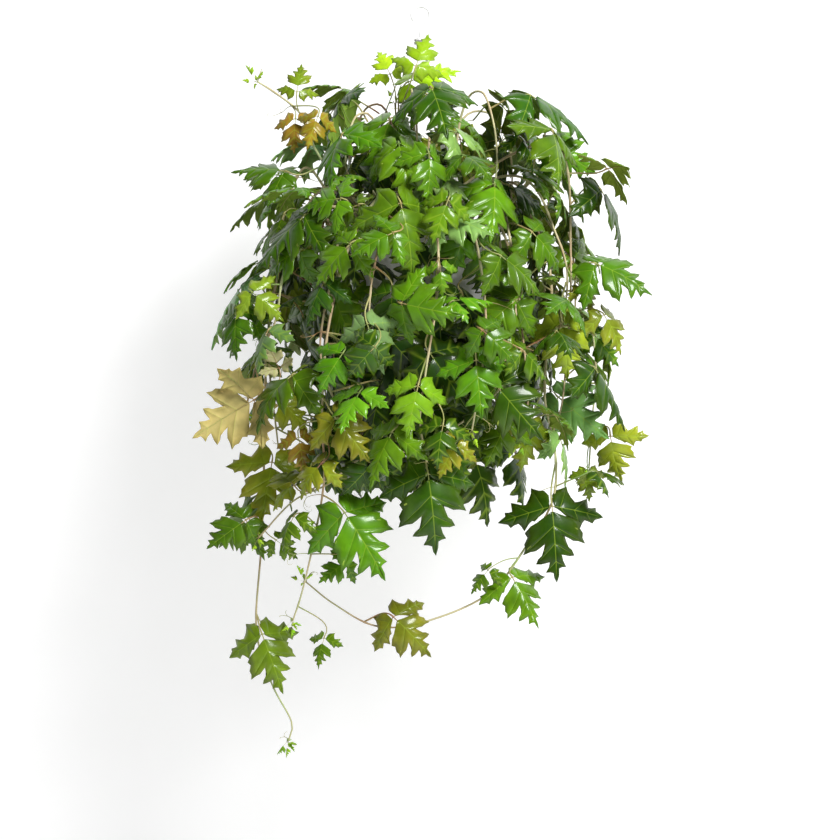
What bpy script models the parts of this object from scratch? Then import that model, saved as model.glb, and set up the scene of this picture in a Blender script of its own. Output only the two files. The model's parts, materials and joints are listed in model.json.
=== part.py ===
"""Grape ivy in a white hanging pot: pot, soil, wire hook, three straps and leafy stems.

Metres, +Z up, +X right and -Y towards the viewer. The origin is where the hook bears on what holds it.
"""
import math
import random

import bmesh
import bpy
from mathutils import Quaternion, Vector
from mathutils.bvhtree import BVHTree

MM = 0.001
GAP = 0.3                       # mm kept between pieces that touch
WELD = 0.00001                  # m, merge distance for caps

# Pot and soil, mm. Heights are down from the hook's bearing point.
POT_RIM_DOWN = 220.0
POT_HEIGHT = 122.0
POT_TOP_RADIUS = 75.0
POT_BASE_RADIUS = 54.0
POT_WALL = 2.6
LIP_WIDTH = 4.0
LIP_HEIGHT = 9.0
POT_SIDES = 24
SOIL_BELOW_RIM = 12.0
HOLE_RADIUS = 2.6
HOLE_SIDES = 4
ROOT_SPACING = 6.5
ROOT_TRIES = 40
ROOT_STEP = 2.0                 # degrees that a root moves on when its place is taken
ROOT_DEPTH = 22.0
ROOT_CLEARANCE = 0.5

# Hook and straps, mm
WIRE_RADIUS = 1.6
HOOK_RADIUS = 9.0
HOOK_TIP_TURN = 215.0
HOOK_START_TURN = -52.0
SHANK_BOTTOM = 33.0
SPOOL_RADIUS = 7.0
SPOOL_NECK = 3.0
SPOOL_DISC = 2.0
SPOOL_SIDES = 12
STRAP_WIDTH = 5.0
STRAP_THICKNESS = 1.2
STRAP_TURNS = (-58.0, 62.0, 182.0)
STRAP_TOP_REACH = 8.0
STRAP_FOOT = 3.0

# The front drawing: mm across and down from its top left corner, seen from VIEW_DISTANCE.
VIEW_DISTANCE = 2400.0
DRAWING_CENTRE = 420.0
HOOK_ACROSS = 421.0
HOOK_DOWN = 8.0

# Stems and petioles, mm
STEM_RADIUS = 1.5
STEM_TIP_RADIUS = 0.8
STEM_STEP = 30.0
PETIOLE_RADIUS = 0.8
PETIOLE_LENGTH = 34.0
PETIOLE_BOW = 0.12
PETIOLE_STOPS = (0.0, 0.36, 0.72, 1.0)
BEHIND_WEIGHT = 14.0            # mm of length that a root behind the leaf is worth
STEM_SPARE = 0.5
BLADE_THICKNESS = 0.7
BLADE_SPARE = 0.75              # half thickness that is kept free round a blade
TRIES = 22

# One leaf: three leaflets on a small hub. Outlines run from the base to the tip, with length 1.
HUB = ((-1.6, 2.0), (1.6, 2.0), (1.6, -1.6), (-1.6, -1.6))
LOBED_TERMINAL = {
    "right": ((0.42, 0.26), (0.46, 0.585), (0.15, 0.45), (0.284, 0.73), (0.09, 0.71)),
    "left": ((-0.45, 0.46), (-0.13, 0.40), (-0.295, 0.63), (-0.09, 0.67)),
    "middle": ((0.0, 0.33), (0.0, 0.66)),
}
LOBED_LATERAL = {
    "right": ((0.46, 0.25), (0.17, 0.41), (0.30, 0.68)),
    "left": ((-0.27, 0.54),),
    "middle": ((0.0, 0.45),),
}
SIMPLE_TERMINAL = {
    "right": ((0.44, 0.50), (0.15, 0.47), (0.27, 0.73)),
    "left": ((-0.44, 0.42), (-0.13, 0.42), (-0.28, 0.63)),
    "middle": ((0.0, 0.40),),
}
SIMPLE_LATERAL = {
    "right": ((0.44, 0.25), (0.16, 0.40), (0.29, 0.67)),
    "left": ((-0.25, 0.50),),
    "middle": ((0.0, 0.42),),
}
LATERAL_TURN = 80.0
LATERAL_SCALE = 0.8
TERMINAL_STALK = 6.0
LATERAL_STALK = 2.5

# The way a blade faces: across, depth and height parts of its upper side
FACES = {
    "front": (0.05, -1.0, 0.30),
    "up": (0.0, -0.62, 0.85),
    "left": (-0.55, -0.85, 0.35),
    "right": (0.55, -0.85, 0.35),
    "back": (0.15, 0.90, 0.15),
}

# Stems that the front view shows. "soil" is where a stem leaves the soil, across and depth from the
# pot's axis. "route" holds points of the front drawing, with depth last. A leaf gives its junction,
# the tip of its middle leaflet and the way it faces.
STEMS = (
    {"soil": (-12, 2), "route": ((408, 190, -6), (398, 140, -14), (395, 104, -18)),
     "leaves": (((402, 80, -20), (430, 34), "front"), ((404, 104, -34), (384, 142), "up"),
                ((372, 118, -30), (340, 96), "up"))},
    {"soil": (-40, -12), "route": ((352, 200, -42), (318, 154, -58), (302, 116, -62), (280, 96, -64),
                                   (258, 82, -64)),
     "leaves": (((296, 92, -66), (299, 60), "front"), ((303, 112, -72), (308, 148), "front"),
                ((331, 112, -66), (327, 150), "right"), ((285, 171, -66), (228, 162), "up"),
                ((352, 160, -84), (330, 205), "front"))},
    {"soil": (18, -34), "route": ((438, 196, -64), (450, 170, -78), (461, 154, -84)),
     "leaves": (((462, 140, -88), (516, 126), "up"), ((444, 184, -104), (488, 206), "right"),
                ((446, 226, -128), (502, 240), "up"), ((438, 128, -70), (418, 92), "up"))},
    {"soil": (44, -14), "route": ((484, 186, -44), (516, 176, -58), (538, 192, -66), (554, 229, -72),
                                  (566, 264, -72), (566, 300, -70), (556, 340, -74)),
     "leaves": (((549, 144, -62), (580, 190), "front"), ((552, 206, -84), (582, 226), "right"),
                ((582, 288, -80), (598, 314), "right"), ((562, 322, -92), (570, 380), "front"),
                ((512, 204, -98), (506, 262), "front"))},
    {"soil": (-6, -52), "route": ((410, 200, -92), (400, 190, -116), (384, 226, -146), (372, 280, -160),
                                  (368, 330, -160)),
     "leaves": (((400, 210, -150), (404, 286), "front"), ((366, 320, -172), (390, 368), "front"),
                ((352, 246, -156), (316, 290), "left"), ((364, 178, -120), (330, 214), "left"),
                ((398, 296, -146), (404, 350), "front"))},
    {"soil": (-44, -26), "route": ((342, 188, -66), (306, 222, -92), (284, 272, -102), (276, 319, -102),
                                   (262, 350, -98), (251, 384, -94), (246, 412, -90)),
     "leaves": (((300, 250, -112), (252, 272), "left"), ((236, 312, -104), (234, 360), "left"),
                ((252, 292, -116), (286, 320), "front"), ((279, 368, -112), (268, 342), "back"),
                ((254, 400, -104), (190, 436), "back"), ((300, 330, -128), (328, 376), "front"))},
    {"soil": (50, 6), "route": ((508, 190, -14), (544, 246, -34), (552, 306, -44), (547, 350, -52),
                                (545, 400, -56), (555, 450, -56), (553, 499, -56), (527, 545, -58),
                                (488, 594, -60), (424, 622, -60), (376, 626, -60), (334, 604, -60),
                                (306, 582, -62)),
     "leaves": (((590, 332, -64), (620, 362), "front"), ((552, 506, -66), (558, 580), "front"),
                ((506, 584, -66), (534, 634), "front"), ((486, 572, -66), (474, 598), "left"),
                ((392, 614, -66), (431, 656), "front"), ((538, 424, -76), (534, 474), "front"))},
    {"soil": (46, 24), "route": ((508, 182, 22), (556, 234, 8), (586, 300, -2), (596, 370, -14),
                                 (592, 420, -24), (589, 468, -28)),
     "leaves": (((572, 390, -40), (628, 414), "up"), ((590, 420, -40), (590, 476), "front"),
                ((588, 472, -36), (590, 502), "front"), ((572, 262, -24), (596, 226), "right"))},
    {"soil": (-22, -44), "route": ((384, 194, -84), (350, 244, -124), (328, 330, -142), (322, 410, -134),
                                   (324, 479, -120), (314, 540, -108), (302, 592, -98), (293, 620, -92)),
     "leaves": (((344, 512, -128), (390, 576), "front"), ((324, 638, -90), (315, 668), "left"),
                ((336, 418, -150), (372, 462), "front"), ((326, 466, -138), (296, 500), "left"),
                ((324, 282, -144), (300, 326), "left"), ((366, 392, -158), (332, 414), "up"))},
    {"soil": (-48, 10), "route": ((326, 186, -6), (286, 252, -26), (268, 334, -38), (264, 430, -46),
                                  (261, 538, -54), (257, 626, -58), (272, 681, -58), (291, 722, -58),
                                  (289, 738, -58)),
     "leaves": (((272, 462, -62), (262, 524), "front"), ((250, 524, -60), (203, 548), "left"),
                ((272, 536, -66), (297, 562), "front"), ((262, 634, -66), (285, 692), "front"),
                ((284, 214, -34), (268, 252), "left"), ((276, 396, -60), (312, 430), "front"))},
    {"soil": (30, -36), "route": ((462, 202, -92), (478, 250, -128), (486, 320, -148), (482, 370, -154),
                                  (472, 430, -146)),
     "leaves": (((454, 300, -160), (495, 290), "up"), ((476, 360, -168), (482, 418), "front"),
                ((455, 444, -152), (438, 478), "front"), ((474, 446, -148), (470, 494), "right"),
                ((492, 262, -146), (540, 296), "right"), ((470, 232, -126), (464, 286), "front"))},
    {"soil": (6, -48), "route": ((430, 200, -98), (438, 244, -140), (436, 304, -160), (426, 370, -164),
                                 (420, 420, -154), (427, 462, -144)),
     "leaves": (((440, 266, -166), (444, 298), "front"), ((418, 386, -172), (406, 438), "front"),
                ((428, 474, -150), (440, 556), "front"), ((410, 310, -172), (440, 366), "front"),
                ((392, 432, -160), (362, 488), "left"), ((448, 326, -150), (456, 378), "front"))},
    {"soil": (38, -26), "route": ((496, 196, -74), (514, 262, -106), (522, 330, -118), (528, 400, -112),
                                  (520, 440, -100)),
     "leaves": (((498, 374, -134), (558, 414), "front"), ((516, 300, -136), (470, 338), "front"),
                ((540, 330, -126), (520, 378), "right"), ((508, 424, -118), (486, 468), "front"),
                ((532, 232, -112), (572, 270), "right"))},
    {"soil": (24, 14), "route": ((474, 186, 4), (508, 270, -60), (500, 360, -116), (462, 420, -130),
                                 (404, 456, -128), (350, 465, -122), (322, 482, -110), (290, 506, -96),
                                 (266, 536, -84)),
     "leaves": (((376, 478, -134), (350, 520), "front"), ((296, 486, -108), (270, 462), "up"),
                ((478, 396, -142), (440, 404), "up"))},
)

# Stems that fill the bush all round: the first ring rises over the pot, the second trails
FILL_SEED = 41
CROWN = {"count": 6, "first": 24.0, "soil": (12, 40), "reach": (62, 116), "rise": (74, 128),
         "drop": (-36, 8), "leaf_step": 60.0}
TRAIL = {"count": 9, "first": 8.0, "soil": (46, 58), "reach": (118, 158), "rise": (26, 62),
         "drop": (150, 238), "leaf_step": 78.0}
FILL_LEAF = (56.0, 72.0)
FRONT_GAP_TURNS = (235.0, 322.0)    # the stems above already fill the bush between these turns

COLOURS = {
    "pot": ((0.86, 0.86, 0.84), 0.35),
    "soil": ((0.06, 0.04, 0.03), 0.95),
    "hanger_hook": ((0.88, 0.88, 0.87), 0.4),
    "hanger_strap": ((0.88, 0.88, 0.87), 0.4),
    "leafy_stem": ((0.07, 0.22, 0.02), 0.4),
}


def clear_scene():
    for item in list(bpy.data.objects):
        bpy.data.objects.remove(item, do_unlink=True)


def new_collection(name):
    collection = bpy.data.collections.new(name)
    bpy.context.scene.collection.children.link(collection)
    return collection


def material(kind, name):
    colour, roughness = COLOURS[kind]
    made = bpy.data.materials.new(name)
    made.use_nodes = True
    shader = made.node_tree.nodes["Principled BSDF"]
    shader.inputs["Base Color"].default_value = (*colour, 1.0)
    shader.inputs["Roughness"].default_value = roughness
    shader.inputs["Metallic"].default_value = 0.0
    return made


def add_object(name, data, collection, kind=None):
    made = bpy.data.objects.new(name, data)
    collection.objects.link(made)
    if kind:
        data.materials.append(material(kind, name))
    return made


def apply_modifiers(item):
    """Keep what the modifiers make of an object as its own mesh."""
    graph = bpy.context.evaluated_depsgraph_get()
    mesh = bpy.data.meshes.new_from_object(item.evaluated_get(graph))
    item.modifiers.clear()
    item.data = mesh


def weld(mesh):
    work = bmesh.new()
    work.from_mesh(mesh)
    bmesh.ops.remove_doubles(work, verts=work.verts, dist=WELD)
    work.to_mesh(mesh)
    work.free()


def at(across, down, depth):
    """A point of the front drawing, in metres from the hook's bearing point."""
    spread = 1.0 + depth / VIEW_DISTANCE
    x = DRAWING_CENTRE - HOOK_ACROSS + (across - DRAWING_CENTRE) * spread
    z = HOOK_DOWN - DRAWING_CENTRE - (down - DRAWING_CENTRE) * spread
    return Vector((x, depth, z)) * MM


def around(turn, radius, height):
    """A point in metres, from a turn about the pot's axis, a radius and a height in mm."""
    angle = math.radians(turn)
    return Vector((radius * math.cos(angle), radius * math.sin(angle), height)) * MM


def turned(name, profile, sides, collection, kind):
    """A body turned about Z from (radius, height) points in mm, outer side downwards."""
    mesh = bpy.data.meshes.new(name)
    points = [(radius * MM, 0.0, height * MM) for radius, height in profile]
    mesh.from_pydata(points, [(i, i + 1) for i in range(len(points) - 1)], [])
    made = add_object(name, mesh, collection, kind)
    screw = made.modifiers.new("turn", "SCREW")
    screw.steps = screw.render_steps = sides
    screw.use_merge_vertices = True
    screw.merge_threshold = WELD
    screw.use_smooth_shade = True
    apply_modifiers(made)
    return made


def tube_curve(name, points, radii, resolution, collection):
    """A curve object with round bevel and filled caps through points in metres, radii in mm."""
    curve = bpy.data.curves.new(name, "CURVE")
    curve.dimensions = "3D"
    curve.bevel_depth = MM
    curve.bevel_resolution = resolution
    curve.use_fill_caps = True
    spline = curve.splines.new("POLY")
    spline.points.add(len(points) - 1)
    for place, point, radius in zip(spline.points, points, radii):
        place.co = (*point, 1.0)
        place.radius = radius
    return add_object(name, curve, collection)


def curves_to_meshes(curves, collection):
    """Turn curve objects into welded mesh objects of the same names and places."""
    graph = bpy.context.evaluated_depsgraph_get()
    made = []
    for item in curves:
        name = item.name
        mesh = bpy.data.meshes.new_from_object(item.evaluated_get(graph))
        weld(mesh)
        place = item.matrix_world.copy()
        bpy.data.objects.remove(item, do_unlink=True)
        mesh.name = name
        solid = bpy.data.objects.new(name, mesh)
        solid.matrix_world = place
        collection.objects.link(solid)
        made.append(solid)
    return made


def join_all(bases, groups):
    """Union each base with its group of solids, apply it and remove the group."""
    for base, group in zip(bases, groups):
        union = base.modifiers.new("union", "BOOLEAN")
        union.operation = "UNION"
        union.solver = "EXACT"
        union.operand_type = "COLLECTION"
        union.collection = group
    graph = bpy.context.evaluated_depsgraph_get()
    meshes = [bpy.data.meshes.new_from_object(base.evaluated_get(graph)) for base in bases]
    for base, group, mesh in zip(bases, groups, meshes):
        base.modifiers.clear()
        base.data = mesh
        for item in list(group.objects):
            bpy.data.objects.remove(item, do_unlink=True)
        bpy.data.collections.remove(group)


def inner_radius(height):
    """The pot's inner radius in mm at a height above its base."""
    share = height / POT_HEIGHT
    return POT_BASE_RADIUS + (POT_TOP_RADIUS - POT_BASE_RADIUS) * share - POT_WALL


def make_pot(collection):
    base = -(POT_RIM_DOWN + POT_HEIGHT)
    rim = -POT_RIM_DOWN
    lip = POT_TOP_RADIUS + LIP_WIDTH
    under_lip = POT_BASE_RADIUS + (POT_TOP_RADIUS - POT_BASE_RADIUS) * (1 - LIP_HEIGHT / POT_HEIGHT)
    profile = (
        (0, base + POT_WALL), (inner_radius(POT_WALL), base + POT_WALL),
        (POT_TOP_RADIUS - POT_WALL, rim), (lip - 0.6, rim), (lip, rim - 0.8),
        (lip, rim - LIP_HEIGHT), (under_lip, rim - LIP_HEIGHT),
        (POT_BASE_RADIUS, base + 2.0), (POT_BASE_RADIUS - 2.0, base), (0, base),
    )
    return turned("pot", profile, POT_SIDES, collection, "pot")


def make_soil(collection, cutters, roots):
    """The soil, with a plain hole for each stem."""
    low = POT_WALL + GAP
    high = POT_HEIGHT - SOIL_BELOW_RIM
    base = -(POT_RIM_DOWN + POT_HEIGHT)
    faceting = math.cos(math.pi / POT_SIDES)
    profile = (
        (0, base + high), (inner_radius(high) * faceting - GAP - 1.5, base + high),
        (inner_radius(high) * faceting - GAP, base + high - 1.5),
        (inner_radius(low) * faceting - GAP, base + low), (0, base + low),
    )
    soil = turned("soil", profile, POT_SIDES, collection, "soil")
    cutter_mesh = bpy.data.meshes.new("stem_holes")
    work = bmesh.new()
    length = 2 * (ROOT_DEPTH + ROOT_CLEARANCE)
    for root in roots:
        made = bmesh.ops.create_cone(work, cap_ends=True, segments=HOLE_SIDES, radius1=HOLE_RADIUS * MM,
                                     radius2=HOLE_RADIUS * MM, depth=length * MM)
        bmesh.ops.translate(work, verts=made["verts"], vec=(root.x, root.y, (base + high) * MM))
    work.to_mesh(cutter_mesh)
    work.free()
    cutter = add_object("stem_holes", cutter_mesh, cutters)
    cutter.hide_render = True
    cutter.display_type = "WIRE"
    cut = soil.modifiers.new("stem holes", "BOOLEAN")
    cut.operation = "DIFFERENCE"
    cut.solver = "EXACT"
    cut.object = cutter
    apply_modifiers(soil)
    return soil


def hook_route():
    """The wire's centre line in metres, from the spool up and round to the tip."""
    centre = WIRE_RADIUS - HOOK_RADIUS
    points = [around(0, 0, -SHANK_BOTTOM), around(0, 0, -SHANK_BOTTOM + 9.0), around(0, 3.0, -19.0)]
    steps = 10
    for i in range(steps + 1):
        turn = math.radians(HOOK_START_TURN + (HOOK_TIP_TURN - HOOK_START_TURN) * i / steps)
        points.append(Vector((HOOK_RADIUS * math.cos(turn), 0, centre + HOOK_RADIUS * math.sin(turn))) * MM)
    return points


def spool_profile():
    """The spool under the hook: two discs with a groove that holds the straps."""
    groove = STRAP_THICKNESS + 2 * GAP
    top = -SHANK_BOTTOM + SPOOL_DISC
    return (
        (0, top), (SPOOL_RADIUS, top), (SPOOL_RADIUS, top - SPOOL_DISC), (SPOOL_NECK, top - SPOOL_DISC),
        (SPOOL_NECK, top - SPOOL_DISC - groove), (SPOOL_RADIUS, top - SPOOL_DISC - groove),
        (SPOOL_RADIUS, top - 2 * SPOOL_DISC - groove), (0, top - 2 * SPOOL_DISC - groove),
    )


def make_hook(collection):
    route = hook_route()
    wire = tube_curve("hanger_hook", route, [WIRE_RADIUS] * len(route), 1, collection)
    hook = curves_to_meshes([wire], collection)[0]
    group = new_collection("hook_repeats")
    turned("spool", spool_profile(), SPOOL_SIDES, group, None)
    join_all([hook], [group])
    hook.data.materials.clear()
    hook.data.materials.append(material("hanger_hook", "hanger_hook"))
    return hook


def strap_line(turn):
    """A strap's centre line in metres: from the spool's groove to under the pot's lip."""
    level = -SHANK_BOTTOM - GAP - STRAP_THICKNESS / 2
    outside = POT_TOP_RADIUS + LIP_WIDTH + GAP + STRAP_THICKNESS / 2 + 0.2
    foot = -POT_RIM_DOWN - LIP_HEIGHT - GAP - STRAP_THICKNESS / 2
    under = outside - STRAP_FOOT
    return [around(turn, SPOOL_NECK + 1.0, level), around(turn, STRAP_TOP_REACH, level),
            around(turn, outside, -POT_RIM_DOWN + 2.0), around(turn, outside, foot), around(turn, under, foot)]


def make_strap(number, turn, collection):
    """A flat strap: an open strip along its line, given its thickness."""
    across = Vector((-math.sin(math.radians(turn)), math.cos(math.radians(turn)), 0)) * STRAP_WIDTH / 2 * MM
    name = f"hanger_strap_{number}"
    mesh = bpy.data.meshes.new(name)
    work = bmesh.new()
    rows = [(work.verts.new(p - across), work.verts.new(p + across)) for p in strap_line(turn)]
    for upper, lower in zip(rows, rows[1:]):
        work.faces.new((upper[0], lower[0], lower[1], upper[1]))
    bmesh.ops.triangulate(work, faces=work.faces)
    work.to_mesh(mesh)
    work.free()
    strap = add_object(name, mesh, collection, "hanger_strap")
    solid = strap.modifiers.new("thickness", "SOLIDIFY")
    solid.thickness = STRAP_THICKNESS * MM
    solid.offset = 0.0
    solid.use_even_offset = True
    apply_modifiers(strap)
    return strap


def smooth_line(points, step):
    """Points in metres about step mm apart on a smooth curve through the given ones."""
    ends = [points[0] * 2 - points[1]] + points + [points[-1] * 2 - points[-2]]
    line = [points[0].copy()]
    for a, b, c, d in zip(ends, ends[1:], ends[2:], ends[3:]):
        pieces = max(1, round((c - b).length / (step * MM)))
        for i in range(1, pieces + 1):
            t = i / pieces
            line.append(0.5 * (2 * b + (c - a) * t + (2 * a - 5 * b + 4 * c - d) * t * t
                               + (3 * b - a - 3 * c + d) * t * t * t))
    return line


def tube_faces(points, radius, sides):
    """Vertices and faces of a plain tube, for the clearance tests."""
    verts, faces = [], []
    side = (points[1] - points[0]).orthogonal().normalized()
    for i, point in enumerate(points):
        ahead = (points[min(i + 1, len(points) - 1)] - points[max(i - 1, 0)]).normalized()
        side = (side - ahead * side.dot(ahead)).normalized()
        other = ahead.cross(side)
        for k in range(sides):
            angle = 2 * math.pi * k / sides
            verts.append(point + (side * math.cos(angle) + other * math.sin(angle)) * radius * MM)
        if i:
            low = (i - 1) * sides
            for k in range(sides):
                n = (k + 1) % sides
                faces.append((low + k, low + n, low + sides + n, low + sides + k))
    return verts, faces


class Space:
    """What is already placed, as search trees with a centre and a reach."""

    def __init__(self):
        self.held = []

    def entry(self, verts, faces, owner):
        centre = sum(verts, Vector()) / len(verts)
        reach = max((v - centre).length for v in verts)
        return owner, centre, reach, BVHTree.FromPolygons(verts, faces)

    def is_clear(self, entry, skip=None):
        _, centre, reach, tree = entry
        for owner, other_centre, other_reach, other in self.held:
            if skip is not None and owner == skip:
                continue
            if (centre - other_centre).length < reach + other_reach and tree.overlap(other):
                return False
        return True

    def add(self, entry):
        self.held.append(entry)


def fixed_things(space):
    """Pot, hook and straps, drawn a little large, as places that no stem or leaf may enter."""
    lip = POT_TOP_RADIUS + LIP_WIDTH + 1.5
    rings = ((0.5, -POT_RIM_DOWN - SOIL_BELOW_RIM + 0.5),
             (POT_TOP_RADIUS - POT_WALL - 1.5, -POT_RIM_DOWN - SOIL_BELOW_RIM + 0.5),
             (POT_TOP_RADIUS - POT_WALL - 1.5, -POT_RIM_DOWN + 1.5), (lip, -POT_RIM_DOWN + 1.5),
             (lip, -POT_RIM_DOWN - LIP_HEIGHT - 3.5),
             (POT_BASE_RADIUS + 3.0, -POT_RIM_DOWN - POT_HEIGHT - 1.5),
             (0.5, -POT_RIM_DOWN - POT_HEIGHT - 1.5))
    verts, faces = [], []
    for radius, height in rings:
        verts += [around(360 * k / POT_SIDES, radius, height) for k in range(POT_SIDES)]
    for i in range(len(rings) - 1):
        for k in range(POT_SIDES):
            n = (k + 1) % POT_SIDES
            low, high = i * POT_SIDES, (i + 1) * POT_SIDES
            faces.append((low + k, low + n, high + n, high + k))
    space.add(space.entry(verts, faces, "pot"))
    for turn in STRAP_TURNS:
        space.add(space.entry(*tube_faces(strap_line(turn), STRAP_WIDTH * 0.62, 6), "strap"))
    space.add(space.entry(*tube_faces(hook_route(), SPOOL_RADIUS + 1.0, 6), "hook"))


def stem_line(root, route, name, space):
    """A stem's centre line: straight out of the soil, then smooth, nudged until it is clear."""
    draw = random.Random(name)
    soil_top = -(POT_RIM_DOWN + SOIL_BELOW_RIM)
    foot = Vector((root[0], root[1], soil_top - ROOT_DEPTH)) * MM
    neck = Vector((root[0], root[1], soil_top + 3.0)) * MM
    for attempt in range(60):
        loose = 0.9 * attempt
        moved = [p + Vector([draw.uniform(-1, 1) for _ in range(3)]) * loose * MM for p in route]
        line = smooth_line([neck] + moved, STEM_STEP)
        entry = space.entry(*tube_faces(line, STEM_RADIUS + STEM_SPARE, 5), name)
        if space.is_clear(entry):
            space.add(entry)
            return [foot] + line
    return None


def leaf_plan(terminal, lateral):
    """A flat leaf as (leaflet, x, y) points and triangles, the same on both faces."""
    work = bmesh.new()
    points = [(None, x, y) for x, y in HUB]
    hub = [work.verts.new((x, y, 0)) for x, y in HUB]
    work.faces.new((hub[3], hub[2], hub[1], hub[0]))
    shapes = ((terminal, 0.0, 1.0, 1, 0, 1), (lateral, -LATERAL_TURN, LATERAL_SCALE, 1, 1, 2),
              (lateral, LATERAL_TURN, LATERAL_SCALE, -1, 3, 0))
    for leaflet, (shape, turn, scale, flip, left_hub, right_hub) in enumerate(shapes):
        sides = {"right": shape["right"], "left": shape["left"]}
        if flip < 0:
            sides = {"right": [(-x, y) for x, y in shape["left"]],
                     "left": [(-x, y) for x, y in shape["right"]]}
        stalk = TERMINAL_STALK if leaflet == 0 else LATERAL_STALK
        angle = math.radians(turn)
        rows = {}
        for key, row in (("right", sides["right"]), ("left", sides["left"]), ("middle", shape["middle"]),
                         ("tip", ((0.0, 1.0),))):
            rows[key] = []
            for x, y in row:
                flat_x, flat_y = x * 70 * scale, y * 70 * scale + stalk
                rows[key].append(work.verts.new((flat_x * math.cos(angle) - flat_y * math.sin(angle),
                                                 flat_x * math.sin(angle) + flat_y * math.cos(angle), 0)))
                points.append((leaflet, x, y))
        tip = rows["tip"][0]
        middle = rows["middle"]
        work.faces.new([hub[right_hub]] + rows["right"] + [tip] + middle[::-1])
        work.faces.new([hub[left_hub]] + middle + [tip] + rows["left"][::-1])
        work.faces.new((hub[left_hub], hub[right_hub], middle[0]))
    bmesh.ops.triangulate(work, faces=work.faces)
    work.verts.index_update()
    triangles = [tuple(v.index for v in face.verts) for face in work.faces]
    work.free()
    return points, triangles


def leaflet_frames(along, normal, droop):
    """Direction, upper side, scale and stalk of the three leaflets of a leaf."""
    frames = [(along, normal, 1.0, TERMINAL_STALK)]
    for turn in (-LATERAL_TURN, LATERAL_TURN):
        out = Quaternion(normal, math.radians(turn)) @ along
        down = math.radians(droop)
        frames.append((out * math.cos(down) - normal * math.sin(down),
                       normal * math.cos(down) + out * math.sin(down), LATERAL_SCALE, LATERAL_STALK))
    return frames


def leaf_points(plan, junction, along, normal, size, bend):
    """The leaf's middle surface in metres: each leaflet arches along its rib and droops at its sides."""
    arch, fold, droop = bend
    frames = leaflet_frames(along, normal, droop)
    across = along.cross(normal)
    placed = []
    for leaflet, x, y in plan[0]:
        if leaflet is None:
            placed.append(junction + (across * x + along * y) * MM)
            continue
        out, up, scale, stalk = frames[leaflet]
        length = size * scale
        lift = -abs(x) * math.sin(fold)
        forward = math.sin(arch * y) / arch + lift * math.sin(arch * y)
        height = (math.cos(arch * y) - 1) / arch + lift * math.cos(arch * y)
        side = out.cross(up) * x * math.cos(fold)
        placed.append(junction + (out * stalk + (side + out * forward + up * height) * length) * MM)
    return placed


def blade_faces(points, triangles):
    """The two faces of a blade a little thicker than the real one, for the clearance tests."""
    normals = [Vector() for _ in points]
    for a, b, c in triangles:
        area = (points[b] - points[a]).cross(points[c] - points[a])
        for i in (a, b, c):
            normals[i] += area
    offset = [n.normalized() * BLADE_SPARE * MM for n in normals]
    verts = [p + n for p, n in zip(points, offset)] + [p - n for p, n in zip(points, offset)]
    count = len(points)
    faces = list(triangles) + [(c + count, b + count, a + count) for a, b, c in triangles]
    return verts, faces


def petiole_line(root, junction, along, normal):
    """From inside the stem, bowed upwards, round behind the blade and into the back of the hub."""
    reach = (junction - root).length
    end = junction + along * HUB[2][1] * MM
    lift = root.lerp(end, 0.4) + Vector((0, 0, PETIOLE_BOW)) * reach - normal * 0.12 * reach
    behind = end - (along * 0.42 + normal * 0.22) * reach
    line = []
    for t in PETIOLE_STOPS:
        s = 1.0 - t
        line.append(root * s ** 3 + lift * 3 * s * s * t + behind * 3 * s * t * t + end * t ** 3)
    return line


def with_petiole(points, triangles, line, across):
    """The leaf's surface with its petiole as a narrow strip from the hub's back edge into the stem."""
    points, triangles = list(points), list(triangles)
    right, left = 2, 3
    width = across
    for i in range(len(line) - 2, -1, -1):
        back = (line[i + 1] - line[max(i - 1, 0)]).normalized()
        width = (width - back * width.dot(back)).normalized()
        points += [line[i] + width * PETIOLE_RADIUS * MM, line[i] - width * PETIOLE_RADIUS * MM]
        new_right, new_left = len(points) - 2, len(points) - 1
        triangles += [(right, left, new_left), (right, new_left, new_right)]
        right, left = new_right, new_left
    return {"points": points, "triangles": triangles}


def place_leaf(name, stem, root, junction, along, normal, size, plan, space):
    """Try a leaf where it is wanted, then ever further from there, until nothing is in its way."""
    draw = random.Random(name)
    bend = (draw.uniform(0.35, 0.95), draw.uniform(0.05, 0.42), draw.uniform(4.0, 26.0))
    for attempt in range(TRIES):
        shift = Vector([draw.uniform(-1, 1) for _ in range(3)]) * 1.3 * attempt * MM
        lean = Vector([draw.uniform(-1, 1) for _ in range(3)]) * 0.045 * attempt
        tilt = Vector([draw.uniform(-1, 1) for _ in range(3)]) * 0.05 * attempt
        place = junction + shift
        out = (along + lean).normalized()
        up = normal + tilt
        up = (up - out * up.dot(out)).normalized()
        points = leaf_points(plan, place, out, up, size, bend)
        blade = space.entry(*blade_faces(points, plan[1]), name)
        if not space.is_clear(blade):
            continue
        line = petiole_line(root, place, out, up)
        petiole = space.entry(*tube_faces(line, PETIOLE_RADIUS + STEM_SPARE, 4), name)
        own = space.entry(*tube_faces(line[:-1], PETIOLE_RADIUS, 4), name)
        if blade[3].overlap(own[3]) or not space.is_clear(petiole, skip=stem):
            continue
        space.add(blade)
        space.add(petiole)
        return with_petiole(points, plan[1], line, out.cross(up))
    return None


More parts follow.
